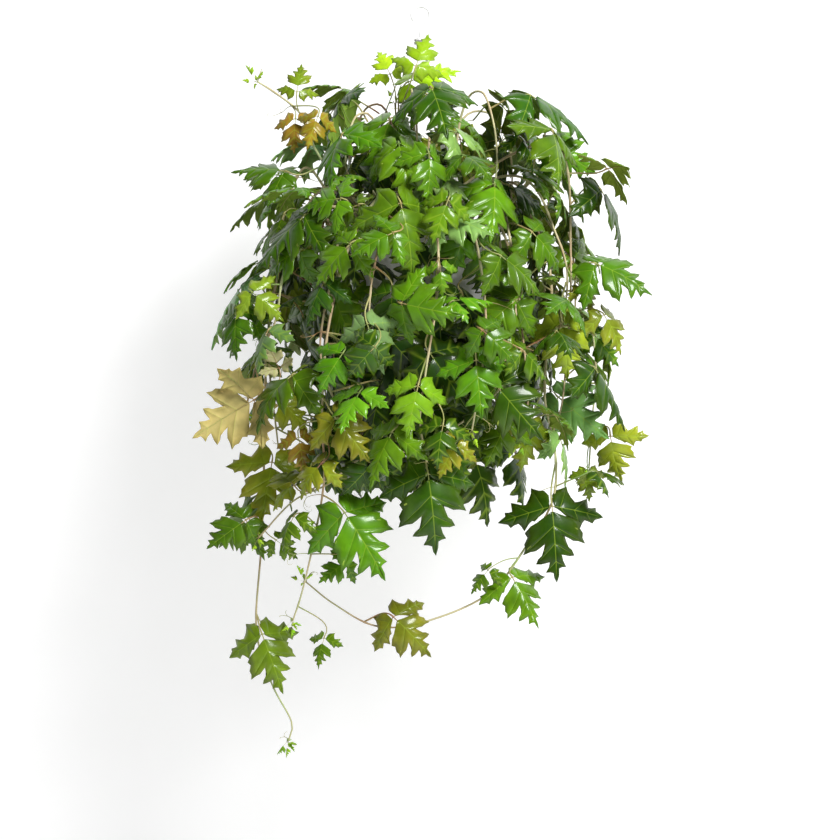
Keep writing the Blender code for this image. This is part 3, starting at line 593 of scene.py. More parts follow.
def dress(piece: Piece, node: str | None = None) -> None:
    """Tie a finished piece to its body and hide the node of the solids that it stands for.

    Args:
        piece: the piece.
        node: the node of the solids that it replaces, if any.
    """
    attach(piece, "root")
    if node:
        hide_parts(node)
    LOG.info("%s: %d faces", piece.name, len(piece.data.polygons))


def round_off(mesh: bpy.types.Mesh, angle: float = 40.0) -> None:
    """Shade a mesh smoothly except at edges sharper than an angle in degrees."""
    mesh.polygons.foreach_set("use_smooth", [True] * len(mesh.polygons))
    mesh.set_sharp_from_angle(angle=math.radians(angle))


def lathe(name: str, profile: list[Pair], sides: int) -> Piece:
    """A closed body turned about the pot's axis.

    Args:
        name: the object's name.
        profile: radius and height in mm, from axis to axis.
        sides: how many steps it turns in.

    Returns:
        The object.
    """
    work = bmesh.new()
    rings = []
    for radius, height in profile:
        if radius == 0:
            rings.append([work.verts.new((0, 0, height * MM))] * sides)
        else:
            rings.append([work.verts.new(around(360 * k / sides, radius, height))
                          for k in range(sides)])
    for low, high in zip(rings, rings[1:]):
        for k in range(sides):
            n = (k + 1) % sides
            work.faces.new(list(dict.fromkeys((low[k], low[n], high[n], high[k]))))
    bmesh.ops.recalc_face_normals(work, faces=work.faces)
    mesh = bpy.data.meshes.new(name)
    work.to_mesh(mesh)
    work.free()
    round_off(mesh)
    return new_object(name, mesh)


class NodeTree:
    """A node tree, with short calls to add its nodes and to fill or join their inputs."""

    def __init__(self, tree: bpy.types.NodeTree) -> None:
        """Keep the tree that nodes are added to."""
        self.tree = tree

    def join(self, source: Socket, target: Socket) -> None:
        """Link one socket to another."""
        self.tree.links.new(source, target)

    def fill(self, node: bpy.types.Node, inputs: Inputs) -> None:
        """Give a node's inputs their sources.

        Args:
            node: the node.
            inputs: for each input a socket to join or a plain value.
        """
        for key, value in inputs.items():
            if isinstance(value, Socket):
                self.join(value, node.inputs[key])
            else:
                node.inputs[key].default_value = value

    def add(self, kind: str, inputs: Inputs | None = None, **options: object) -> bpy.types.Node:
        """Add a node.

        Args:
            kind: its type.
            inputs: for each input a socket to join or a plain value.
            options: properties that it gets.

        Returns:
            The node.
        """
        node = self.tree.nodes.new(kind)
        for key, value in options.items():
            setattr(node, key, value)
        self.fill(node, inputs or {})
        return node


class Wiring(NodeTree):
    """A material's nodes round its shader."""

    def __init__(self, name: str) -> None:
        """Start a material.

        Args:
            name: the material's name.
        """
        self.material = bpy.data.materials.new(name)
        self.material.use_nodes = True
        super().__init__(self.material.node_tree)
        self.shader = self.tree.nodes["Principled BSDF"]

    def noise(self, scale: float, detail: float = 3.0) -> Socket:
        """A noise over the object's own coordinates.

        Args:
            scale: how fine it is.
            detail: how many finer layers it has.

        Returns:
            The noise as a factor.
        """
        place = self.add("ShaderNodeTexCoord").outputs["Object"]
        inputs = {"Vector": place, "Scale": scale, "Detail": detail}
        return self.add("ShaderNodeTexNoise", inputs).outputs["Fac"]

    def ramp(self, factor: Socket, stops: Stops) -> Socket:
        """Colours along a factor.

        Args:
            factor: where along the stops.
            stops: positions and colours.

        Returns:
            The colour.
        """
        node = self.add("ShaderNodeValToRGB", {"Fac": factor})
        band = node.color_ramp.elements
        for _ in stops[2:]:
            band.new(0.5)
        for mark, (position, _) in zip(band, stops):
            mark.position = position
        for mark, (_, colour) in zip(band, stops):
            mark.color = (*colour, 1)
        return node.outputs["Color"]

    def mix(self, kind: str, factor: object, first: object, second: object) -> Socket:
        """Mix two colours; each is a socket or a plain colour with its alpha."""
        inputs = {0: factor, 6: first, 7: second}
        return self.add("ShaderNodeMix", inputs, data_type="RGBA", blend_type=kind).outputs[2]

    def span(self, factor: Socket, low: float, high: float) -> Socket:
        """Stretch a factor from 0..1 to low..high."""
        inputs = {"Value": factor, "To Min": low, "To Max": high}
        return self.add("ShaderNodeMapRange", inputs).outputs["Result"]

    def stored(self, name: str, output: str) -> Socket:
        """A value kept on the mesh."""
        return self.add("ShaderNodeAttribute", attribute_name=name).outputs[output]

    def grain(self, scale: float, detail: float, depth: float, strength: float) -> Socket:
        """A fine relief from a noise, with mm between low and high and how much of it shows."""
        inputs = {"Height": self.noise(scale, detail), "Distance": depth * MM, "Strength": strength}
        return self.add("ShaderNodeBump", inputs).outputs["Normal"]

    def dress(self, inputs: Inputs) -> Material:
        """Fill the shader's inputs and give the material."""
        self.fill(self.shader, inputs)
        return self.material


@dataclass(frozen=True)
class LeafFace:
    """One side of a blade: its veins, its gloss, how pale it is, and the blotches and grain on it."""

    name: str
    vein_colour: Triple
    vein_share: float
    roughness: Pair
    shine: float
    coat: float
    paleness: float
    pale_colour: Triple = (0.28, 0.36, 0.10)
    blotch_scale: float = 70.0
    blotches: Stops = ((0.30, (0.72, 0.74, 0.70)), (0.70, (1.22, 1.20, 1.15)))
    gloss_scale: float = 160.0
    coat_roughness: float = 0.16
    grain: tuple[float, ...] = (900.0, 2.0, 0.10, 0.35)

    def material(self) -> Material:
        """Make the finish.

        Returns:
            The material.
        """
        w = Wiring(self.name)
        colour = w.mix("MULTIPLY", 1.0, w.stored("leaf_colour", "Color"),
                       w.ramp(w.noise(self.blotch_scale), self.blotches))
        if self.paleness:
            colour = w.mix("MIX", self.paleness, colour, (*self.pale_colour, 1))
        vein = w.span(w.stored("vein", "Fac"), 0.0, self.vein_share)
        return w.dress({"Base Color": w.mix("MIX", vein, colour, (*self.vein_colour, 1)),
                        "Roughness": w.span(w.noise(self.gloss_scale), *self.roughness),
                        "Specular IOR Level": self.shine, "Coat Weight": self.coat,
                        "Coat Roughness": self.coat_roughness, "Normal": w.grain(*self.grain)})


@dataclass(frozen=True)
class PatchyFinish:
    """A finish whose colour changes in patches, with a fine grain.

    Patches are a noise's scale and detail; the grain adds its depth in mm and its strength.
    """

    name: str
    patches: Pair
    stops: Stops
    roughness: float
    grain: tuple[float, ...]

    def material(self) -> Material:
        """Make the finish.

        Returns:
            The material.
        """
        w = Wiring(self.name)
        return w.dress({"Base Color": w.ramp(w.noise(*self.patches), self.stops),
                        "Roughness": self.roughness, "Normal": w.grain(*self.grain)})


LEAF_TOP = LeafFace("glossy_leaf", (0.28, 0.40, 0.03), 0.50, (0.36, 0.54), 0.10, 0.40, 0.0)
LEAF_UNDER = LeafFace("leaf_underside", (0.36, 0.42, 0.08), 0.5, (0.52, 0.68), 0.15, 0.0, 0.15)
BARK_GRAIN = (700.0, 2.0, 0.12, 0.4)
LEAF_STALK = PatchyFinish("leaf_stalk", (14.0, 3.0), (
    (0.35, (0.16, 0.26, 0.05)), (0.52, (0.34, 0.32, 0.11)), (0.70, (0.30, 0.13, 0.06))),
    0.5, BARK_GRAIN)
VINE_BARK = PatchyFinish("vine_bark", (14.0, 3.0), (
    (0.34, (0.36, 0.42, 0.19)), (0.52, (0.46, 0.40, 0.22)), (0.72, (0.28, 0.13, 0.07))),
    0.6, BARK_GRAIN)
PLASTIC_GRAIN = (1500.0, 1.0, 0.05, 0.2)
POT_WHITE = PatchyFinish("pot_plastic", (30.0, 3.0), (
    (0.35, (0.798, 0.798, 0.779)), (0.65, (0.84, 0.84, 0.82))), 0.34, PLASTIC_GRAIN)
HANGER_WHITE = PatchyFinish("hanger_plastic", (30.0, 3.0), (
    (0.35, (0.817, 0.817, 0.8075)), (0.65, (0.86, 0.86, 0.85))), 0.38, PLASTIC_GRAIN)
SOIL_GRAIN = (500.0, 5.0, 0.5, 0.7)
SOIL_DARK = PatchyFinish("potting_soil", (260.0, 5.0), (
    (0.3, (0.018, 0.011, 0.007)), (0.7, (0.085, 0.052, 0.032))), 0.93, SOIL_GRAIN)
SOIL_BEAD = PatchyFinish("soil_beads", (260.0, 5.0), (
    (0.3, (0.50, 0.48, 0.43)), (0.7, (0.78, 0.76, 0.70))), 0.93, SOIL_GRAIN)
BROWN_MARGINS = ((0.32, 0.22, 0.03), (0.38, 0.28, 0.07))


class Space:
    """What is already placed, as search trees with a centre and a reach."""

    def __init__(self) -> None:
        """Start with nothing placed."""
        self.held: list[Entry] = []

    def entry(self, verts: list[Vector], faces: Faces, owner: str) -> Entry:
        """Ready a thing for the tests.

        Args:
            verts: its points.
            faces: its faces.
            owner: the name that it is kept under.

        Returns:
            The owner, the centre, the reach and the search tree.
        """
        centre = sum(verts, Vector()) / len(verts)
        reach = max((v - centre).length for v in verts)
        return owner, centre, reach, BVHTree.FromPolygons(verts, faces)

    def is_clear(self, entry: Entry, skip: str | None = None) -> bool:
        """Whether a thing touches nothing that is placed.

        Args:
            entry: the thing.
            skip: the one owner that it may touch, such as its stem.

        Returns:
            True where it is clear.
        """
        _, centre, reach, tree = entry
        for owner, other_centre, other_reach, other in self.held:
            if skip is not None and owner == skip:
                continue
            if (centre - other_centre).length < reach + other_reach and tree.overlap(other):
                return False
        return True

    def add(self, entry: Entry) -> None:
        """Keep a thing as placed."""
        self.held.append(entry)


@dataclass(frozen=True)
class LeafWish:
    """Where a leaf is wanted: its root on the stem, junction, directions and size."""

    root: Vector
    junction: Vector
    along: Vector
    normal: Vector
    size: float
    tone: Tone


@dataclass(frozen=True)
class Leaf:
    """A leaf that found room."""

    name: str
    root: Vector
    place: Vector
    out: Vector
    up: Vector
    size: float
    bend: Triple
    tone: Tone


@dataclass
class Stem:
    """One stem: its centre line, its fine line, what is wanted on it and what has grown."""

    name: str
    line: list[Vector]
    fine: list[Vector]
    lobed: bool
    wanted: list[LeafWish] = field(default_factory=list)
    leaves: list[Leaf] = field(default_factory=list)


Plan = tuple[list[tuple[int | None, float, float]], Faces]
LeafletFrame = tuple[Vector, Vector, float, float]


def leaf_plan(terminal: dict, lateral: dict) -> Plan:
    """A flat leaf for the room tests.

    Args:
        terminal: outline of the middle leaflet.
        lateral: outline of the side leaflets.

    Returns:
        (leaflet, x, y) points and triangles.
    """
    work = bmesh.new()
    points = [(None, x, y) for x, y in HUB]
    hub = [work.verts.new((x, y, 0)) for x, y in HUB]
    work.faces.new((hub[3], hub[2], hub[1], hub[0]))
    turn, scale = GROWTH.lateral_turn, GROWTH.lateral_scale
    shapes = ((terminal, 0.0, 1.0, 1, 0, 1), (lateral, -turn, scale, 1, 1, 2),
              (lateral, turn, scale, -1, 3, 0))
    for leaflet, (shape, turn, scale, flip, left_hub, right_hub) in enumerate(shapes):
        sides = {"right": shape["right"], "left": shape["left"]}
        if flip < 0:
            sides = {"right": [(-x, y) for x, y in shape["left"]],
                     "left": [(-x, y) for x, y in shape["right"]]}
        stalk = GROWTH.terminal_stalk if leaflet == 0 else GROWTH.lateral_stalk
        angle = math.radians(turn)
        rows = {}
        for key, row in (("right", sides["right"]), ("left", sides["left"]), ("middle", shape["middle"]),
                         ("tip", ((0.0, 1.0),))):
            rows[key] = []
            for x, y in row:
                flat_x, flat_y = x * 70 * scale, y * 70 * scale + stalk
                rows[key].append(work.verts.new((
                    flat_x * math.cos(angle) - flat_y * math.sin(angle),
                    flat_x * math.sin(angle) + flat_y * math.cos(angle), 0)))
                points.append((leaflet, x, y))
        tip = rows["tip"][0]
        middle = rows["middle"]
        work.faces.new([hub[right_hub]] + rows["right"] + [tip] + middle[::-1])
        work.faces.new([hub[left_hub]] + middle + [tip] + rows["left"][::-1])
        work.faces.new((hub[left_hub], hub[right_hub], middle[0]))
    bmesh.ops.triangulate(work, faces=work.faces)
    work.verts.index_update()
    triangles = [tuple(v.index for v in face.verts) for face in work.faces]
    work.free()
    return points, triangles


def leaflet_frames(along: Vector, normal: Vector, droop: float) -> list[LeafletFrame]:
    """How the three leaflets of a leaf lie.

    Args:
        along: the way the middle leaflet points.
        normal: the way the leaf's upper side faces.
        droop: degrees that the side leaflets hang down.

    Returns:
        Direction, upper side, scale and stalk in mm of each leaflet.
    """
    frames = [(along, normal, 1.0, GROWTH.terminal_stalk)]
    for turn in (-GROWTH.lateral_turn, GROWTH.lateral_turn):
        out = Quaternion(normal, math.radians(turn)) @ along
        down = math.radians(droop)
        frames.append((out * math.cos(down) - normal * math.sin(down),
                       normal * math.cos(down) + out * math.sin(down), GROWTH.lateral_scale,
                       GROWTH.lateral_stalk))
    return frames


def leaf_points(plan: Plan, junction: Vector, along: Vector, normal: Vector, size: float,
                bend: Triple) -> list[Vector]:
    """The middle surface of a leaf's plain plan, bent.

    Args:
        plan: the flat leaf.
        junction: where its three leaflets meet.
        along: the way the middle leaflet points.
        normal: the way the leaf's upper side faces.
        size: mm from the middle leaflet's base to its tip.
        bend: arch, fold and droop.

    Returns:
        The plan's points in metres.
    """
    arch, fold, droop = bend
    frames = leaflet_frames(along, normal, droop)
    across = along.cross(normal)
    placed = []
    for leaflet, x, y in plan[0]:
        if leaflet is None:
            placed.append(junction + (across * x + along * y) * MM)
            continue
        out, up, scale, stalk = frames[leaflet]
        length = size * scale
        lift = -abs(x) * math.sin(fold)
        forward = math.sin(arch * y) / arch + lift * math.sin(arch * y)
        height = (math.cos(arch * y) - 1) / arch + lift * math.cos(arch * y)
        side = out.cross(up) * x * math.cos(fold)
        placed.append(junction + (out * stalk + (side + out * forward + up * height) * length) * MM)
    return placed


def blade_faces(points: list[Vector], triangles: Faces) -> tuple[list[Vector], Faces]:
    """The two faces of a blade a little thicker than the real one, for the room tests.

    Args:
        points: the middle surface in metres.
        triangles: its triangles.

    Returns:
        Vertices and faces.
    """
    normals = [Vector() for _ in points]
    for a, b, c in triangles:
        area = (points[b] - points[a]).cross(points[c] - points[a])
        for i in (a, b, c):
            normals[i] += area
    offset = [n.normalized() * GROWTH.blade_spare * MM for n in normals]
    verts = [p + n for p, n in zip(points, offset)] + [p - n for p, n in zip(points, offset)]
    count = len(points)
    faces = list(triangles) + [(c + count, b + count, a + count) for a, b, c in triangles]
    return verts, faces


def petiole_line(root: Vector, junction: Vector, along: Vector, normal: Vector,
                 stops: tuple[float, ...] = PETIOLE_STOPS) -> list[Vector]:
    """A leaf stalk's centre line: bowed upwards, round behind the blade and into the hub.

    Args:
        root: where it leaves the stem.
        junction: where the leaflets meet.
        along: the way the middle leaflet points.
        normal: the way the leaf's upper side faces.
        stops: shares of its way from root to hub.

    Returns:
        A point in metres for each stop.
    """
    reach = (junction - root).length
    end = junction + along * HUB[2][1] * MM
    lift = root.lerp(end, 0.4) + Vector((0, 0, GROWTH.petiole_bow)) * reach - normal * 0.12 * reach
    behind = end - (along * 0.42 + normal * 0.22) * reach
    line = []
    for t in stops:
        s = 1.0 - t
        line.append(root * s ** 3 + lift * 3 * s * s * t + behind * 3 * s * t * t + end * t ** 3)
    return line


def hook_route(steps: int = 10) -> list[Vector]:
    """The wire's centre line, from the spool up and round to the tip.

    Args:
        steps: how many steps its round part takes.

    Returns:
        Points in metres.
    """
    centre = HANGER.wire_radius - HANGER.hook_radius
    bottom = -HANGER.shank_bottom
    points = [around(0, 0, bottom), around(0, 0, bottom + 9.0), around(0, 3.0, -19.0)]
    for i in range(steps + 1):
        turn = math.radians(HANGER.start_turn + (HANGER.tip_turn - HANGER.start_turn) * i / steps)
        points.append(Vector((HANGER.hook_radius * math.cos(turn), 0,
                              centre + HANGER.hook_radius * math.sin(turn))) * MM)
    return points


def strap_line(turn: float) -> list[Vector]:
    """A strap's centre line, from the spool's groove to under the pot's lip.

    Args:
        turn: degrees about the pot's axis.

    Returns:
        Points in metres.
    """
    half = HANGER.strap_thickness / 2
    level = -HANGER.shank_bottom - HANGER.gap - half
    outside = POT.top_radius + POT.lip_width + HANGER.gap + half + 0.2
    foot = POT.rim - POT.lip_height - HANGER.gap - half
    return [around(turn, HANGER.spool_neck + 1.0, level), around(turn, HANGER.strap_top_reach, level),
            around(turn, outside, POT.rim + 2.0), around(turn, outside, foot),
            around(turn, outside - HANGER.strap_foot, foot)]


def jolt(draw: Random) -> Vector:
    """A random vector, up to 1 each way."""
    return Vector([draw.uniform(-1, 1) for _ in range(3)])


class Grower:
    """Grows every stem and finds room for every leaf, always in the same order."""

    def __init__(self) -> None:
        """Place what can't move: pot, straps and hook."""
        self.space = Space()
        self.stems: list[Stem] = []
        self.lobed = leaf_plan(LOBED_TERMINAL, LOBED_LATERAL)
        self.simple = leaf_plan(SIMPLE_TERMINAL, SIMPLE_LATERAL)
        self.fixed_things()

    def fixed_things(self) -> None:
        """Pot, hook and straps, drawn a little large, as places that nothing may enter."""
        lip = POT.top_radius + POT.lip_width + 1.5
        inside = POT.top_radius - POT.wall - 1.5
        soil, over, base = POT.soil_top + 0.5, POT.rim + 1.5, POT.base - 1.5
        rings = ((0.5, soil), (inside, soil), (inside, over), (lip, over),
                 (lip, POT.rim - POT.lip_height - 3.5), (POT.base_radius + 3.0, base), (0.5, base))
        verts = [around(360 * k / POT.sides, radius, height)
                 for radius, height in rings for k in range(POT.sides)]
        add, entry = self.space.add, self.space.entry
        add(entry(verts, ring_faces(len(rings), POT.sides), "pot"))
        for turn in HANGER.strap_turns:
            add(entry(*tube_faces(strap_line(turn), HANGER.strap_width * 0.62, 6), "strap"))
        add(entry(*tube_faces(hook_route(), HANGER.spool_radius + 1.0, 6), "hook"))

    def stem(self, name: str, root: Pair, route: list[Vector], lobed: bool) -> Stem | None:
        """A stem straight out of the soil, then smooth, nudged until it is clear.

        Args:
            name: the stem's name.
            root: its place in the soil, mm from the pot's axis.
            route: the points that it passes.
            lobed: whether its leaves are of the deeply lobed kind.

        Returns:
            The stem, or None where there was no room.
        """
        draw = Random(name)
        foot = Vector((*root, POT.soil_top - POT.root_depth)) * MM
        neck = Vector((*root, POT.soil_top + GROWTH.neck_rise)) * MM
        for attempt in range(GROWTH.stem_tries):
            moved = [p + jolt(draw) * (GROWTH.stem_shift * attempt) * MM for p in route]
            line = smooth_line([neck] + moved, GROWTH.stem_step)
            room = GROWTH.stem_radius + GROWTH.stem_spare
            entry = self.space.entry(*tube_faces(line, room, 5), name)
            if self.space.is_clear(entry):
                self.space.add(entry)
                fine = [foot] + smooth_line([neck] + moved, GROWTH.fine_step)
                return Stem(name, [foot] + line, fine, lobed)
        return None

    def leaf(self, name: str, stem: Stem, wish: LeafWish, inside: tuple | None = None,
             hidden_stalk: bool = False) -> None:
        """Try a leaf where it is wanted, then ever further off, until nothing is in its way.

        A leaf that finds room joins its stem.

        Args:
            name: the leaf's name, which also seeds its bend.
            stem: the stem that it grows on.
            wish: where it is wanted.
            inside: lowest and highest corner that it stays between.
            hidden_stalk: whether only the blade needs room, because its stalk is out of sight.
        """
        plan = self.lobed if stem.lobed else self.simple
        draw = Random(name)
        bend = tuple(draw.uniform(*span) for span in (GROWTH.arch, GROWTH.fold, GROWTH.droop))
        for attempt in range(GROWTH.tries):
            place = wish.junction + jolt(draw) * GROWTH.shift * attempt * MM
            out = (wish.along + jolt(draw) * GROWTH.lean * attempt).normalized()
            up = wish.normal + jolt(draw) * GROWTH.tilt * attempt
            up = (up - out * up.dot(out)).normalized()
            points = leaf_points(plan, place, out, up, wish.size, bend)
            if inside and not all(inside[0][i] < p[i] < inside[1][i] for p in points for i in range(3)):
                continue
            blade = self.space.entry(*blade_faces(points, plan[1]), name)
            if not self.space.is_clear(blade):
                continue
            placed = [blade]
            if not hidden_stalk:
                line = petiole_line(wish.root, place, out, up)
                wide = tube_faces(line, GROWTH.petiole_radius + GROWTH.stem_spare, 4)
                placed.append(self.space.entry(*wide, name))
                own = self.space.entry(*tube_faces(line[:-1], GROWTH.petiole_radius, 4), name)
                if blade[3].overlap(own[3]) or not self.space.is_clear(placed[1], skip=stem.name):
                    continue
            for entry in placed:
                self.space.add(entry)
            stem.leaves.append(Leaf(name, wish.root, place, out, up, wish.size, bend, wish.tone))
            return

    def drawn_wish(self, line: list[Vector], leaf: tuple, tone: Tone) -> LeafWish:
        """A leaf of the front drawing, rooted where its stalk has about the usual length.

        Args:
            line: the stem's centre line.
            leaf: its junction, its tip and its facing.
            tone: its colour.

        Returns:
            The wish for it.
        """
        (across, down, depth), (tip_across, tip_down), facing = leaf
        junction = DRAWING.at(across, down, depth)
        normal = Vector(facing.value).normalized()
        flat = DRAWING.at(tip_across, tip_down, depth) - junction
        out = Vector((flat.x, -(flat.x * normal.x + flat.z * normal.z) / normal.y, flat.z))
        least, most = GROWTH.leaf_sizes
        size = min(max(out.length / MM - GROWTH.terminal_stalk, least), most)
        out.normalize()

        def strain(point: Vector) -> float:
            """How ill a root at this point would suit the leaf.

            Args:
                point: the point on the stem.

            Returns:
                mm off the usual length, less where the root lies behind the leaf.
            """
            reach = junction - point
            return (abs(reach.length / MM - GROWTH.petiole_length)
                    - GROWTH.behind_weight * reach.normalized().dot(out))

        roots = [a.lerp(b, 0.5) for a, b in zip(line[2:], line[3:])]
        return LeafWish(min(roots, key=strain), junction, out, normal, size, tone)

    def ring_route(self, ring: Ring, turn: float, draw: Random) -> tuple[Pair, list[Vector]]:
        """A filling stem's way: up out of the pot, outwards and down again.

        Args:
            ring: the ring that it belongs to.
            turn: degrees about the pot's axis.
            draw: the random numbers in use.

        Returns:
            Its place in the soil and the points of its route.
        """
        reach = draw.uniform(*ring.reach)
        top = POT.rim + draw.uniform(*ring.rise)
        end = POT.rim - draw.uniform(*ring.drop)
        start = draw.uniform(*ring.soil)
        sway = draw.uniform(-16, 16)
        fall = top - end
        shape = [(start + out * (reach - start), top - down * fall, share) for out, down, share in RISE]
        shape += [(reach, top - 0.65 * fall, 1.0), (reach - 8, end, 1.3)]
        root = around(turn, start, 0.0) / MM
        return (root.x, root.y), [around(turn + sway * share, radius, height)
                                  for radius, height, share in shape]

    def ring_wishes(self, line: list[Vector], step: float, draw: Random) -> list[LeafWish]:
        """Leaves at even steps along a filling stem.

        Args:
            line: the stem's centre line.
            step: mm between leaves, about.
            draw: the random numbers in use.

        Returns:
            The wishes for them.
        """
        f = FILL_LEAF
        wishes = []
        side, due, run = 1, step * 0.9, 0.0
        for a, b in zip(line[1:], line[2:]):
            length = (b - a).length / MM
            while run + length >= due:
                root = a.lerp(b, 0.5)
                outward = Vector((root.x, root.y, 0)).normalized()
                sideways = Vector((-outward.y, outward.x, 0)) * side
                reach = (outward * f.stalk_out + sideways * draw.uniform(*f.stalk_aside)
                         + Vector((0, 0, f.stalk_up))).normalized()
                junction = root + reach * draw.uniform(*f.stalk) * MM
                along = (outward * f.tip_out + sideways * draw.uniform(*f.tip_aside)
                         - Vector((0, 0, draw.uniform(*f.tip_down)))).normalized()
                normal = outward * draw.uniform(*f.face_out) + Vector((0, 0, draw.uniform(*f.face_up)))
                size = draw.uniform(*f.size)
                tone = TONE_LETTERS[FILL_TONES[int(size * 1000) % len(FILL_TONES)]]
                wishes.append(LeafWish(root, junction, along, normal, size, tone))
                due += step * draw.uniform(0.85, 1.15)
                side = -side
            run += length
        return wishes

    def grow(self) -> None:
        """Every stem of the solids with its leaves."""
        for number, drawing in enumerate(STEMS, 1):
            route = [DRAWING.at(*place) for place in drawing.route]
            stem = self.stem(f"leafy_stem_{number:02d}", drawing.soil, route, True)
            if stem:
                stem.wanted = [self.drawn_wish(stem.line, leaf, TONE_LETTERS[letter])
                               for leaf, letter in zip(drawing.leaves, drawing.tones)]
                self.stems.append(stem)
        draw = Random(FILL_SEED)
        roots = [drawing.soil for drawing in STEMS]
        for ring in (CROWN, TRAIL):
            for i in range(ring.count):
                turn = ring.first + 360.0 * i / ring.count + draw.uniform(-8, 8)
                if ring is TRAIL:
                    low, high = FRONT_GAP_TURNS
                    turn = high + (turn % 360) * (360 - (high - low)) / 360
                number += 1
                root, route = self.ring_route(ring, turn, draw)
                for _ in range(GROWTH.root_tries):
                    if min(math.dist(root, other) for other in roots) >= GROWTH.root_spacing:
                        break
                    turn += GROWTH.root_step
                    root, route = self.ring_route(ring, turn, draw)
                roots.append(root)
                stem = self.stem(f"leafy_stem_{number:02d}", root, route, False)
                if stem:
                    stem.wanted = self.ring_wishes(stem.line, ring.leaf_step, draw)
                    self.stems.append(stem)
        for stem in self.stems:
            for i, wish in enumerate(stem.wanted):
                self.leaf(f"{stem.name}_{i}", stem, wish)

    def room(self, spare: float) -> tuple[Vector, Vector]:
        """The solids' box with some mm to spare all round."""
        edge = Vector((spare, spare, spare)) * MM
        return CAD_BOX[0] - edge, CAD_BOX[1] + edge

    def thicken(self, spare: float = 4.0) -> None:
        """Further leaves: some of the front view, then small ones all over the bush.

        Args:
            spare: mm beyond the solids' box that a leaf may reach.
        """
        inside = self.room(spare)
        usual = GROWTH.petiole_length * 0.8
        for i, (*leaf, letter, number) in enumerate(NEAR_LEAVES):
            wishes = [(self.drawn_wish(stem.line, tuple(leaf), TONE_LETTERS[letter]), stem)
                      for stem in self.stems
                      if len(stem.line) > 4 and number in (0, int(stem.name[-2:]))]
            wish, stem = min(wishes, key=lambda pair: abs(
                (pair[0].root - pair[0].junction).length / MM - usual))
            self.leaf(f"near_{i}", stem, wish, inside, hidden_stalk=True)
        young = YOUNG_LEAF
        draw = Random(young.seed)
        for stem in self.stems:
            side = 1
            for i, (a, b) in enumerate(zip(stem.line[2:], stem.line[3:])):
                side = -side
                size, stalk = draw.uniform(*young.size), draw.uniform(*young.stalk)
                chance = draw.random()
                aside, fall = draw.uniform(*young.tip_aside), draw.uniform(*young.tip_down)
                letter = draw.choice(FILL_TONES)
                bare = stem.lobed and a.z < young.bare_below * MM
                if chance > (young.bare_share if bare else young.share):
                    continue
                root = a.lerp(b, 0.5)
                outward = Vector((root.x, root.y - 0.02, 0)).normalized()
                sideways = Vector((-outward.y, outward.x, 0)) * side
                size *= young.bare_scale if bare else 1.0
                reach = (outward * young.stalk_out + sideways * young.stalk_out
                         + Vector((0, 0, young.stalk_up)))
                junction = root + reach * stalk * MM
                along = (outward * young.tip_out + sideways * aside - Vector((0, 0, fall))).normalized()
                normal = outward * young.face_out + Vector((0, 0, young.face_up))
                wish = LeafWish(root, junction, along, normal, size, TONE_LETTERS[letter])
                self.leaf(f"{stem.name}_young_{i}", stem, wish, inside)

    def curtain(self, spare: float = 4.0) -> None:
        """Leaves close round the pot, mostly in front, which close the gaps between the others; most are
        coloured as painted shade, dark for the shade inside the bush.

        Args:
            spare: mm beyond the solids' box that a leaf may reach.
        """
        inside = self.room(spare)
        inner = INNER_LEAF
        draw = Random(inner.seed)
        anchors = [(stem, a.lerp(b, 0.5)) for stem in self.stems
                   for a, b in zip(stem.line[2:], stem.line[3:])]
        low, high = POT.base - inner.pot_spare, POT.rim + inner.pot_spare
        for i in range(inner.count):
            turn = draw.uniform(*(inner.front if draw.random() < inner.front_share else inner.back))
            height = draw.uniform(*inner.height)
            radius = draw.uniform(*(inner.beside_pot if low < height < high else inner.off_pot))
            outward = around(turn, 1, 0).normalized()
            sideways = Vector((-outward.y, outward.x, 0))
            junction = around(turn, radius, height)
            along = (sideways * draw.uniform(*inner.tip_aside) + outward * inner.tip_out
                     - Vector((0, 0, inner.tip_down))).normalized()
            normal = (outward + Vector((0, 0, draw.uniform(*inner.face_up)))
                      + sideways * draw.uniform(*inner.face_aside))
            size, letter = draw.uniform(*inner.size), draw.choice(inner.tones)
            behind = junction - along * inner.stalk * MM
            stem, root = min(anchors, key=lambda pair: (pair[1] - behind).length)
            if (root - junction).length > inner.reach * MM:
                continue
            wish = LeafWish(root, junction, along, normal, size, TONE_LETTERS[letter])
            self.leaf(f"curtain_{i}", stem, wish, inside, hidden_stalk=True)


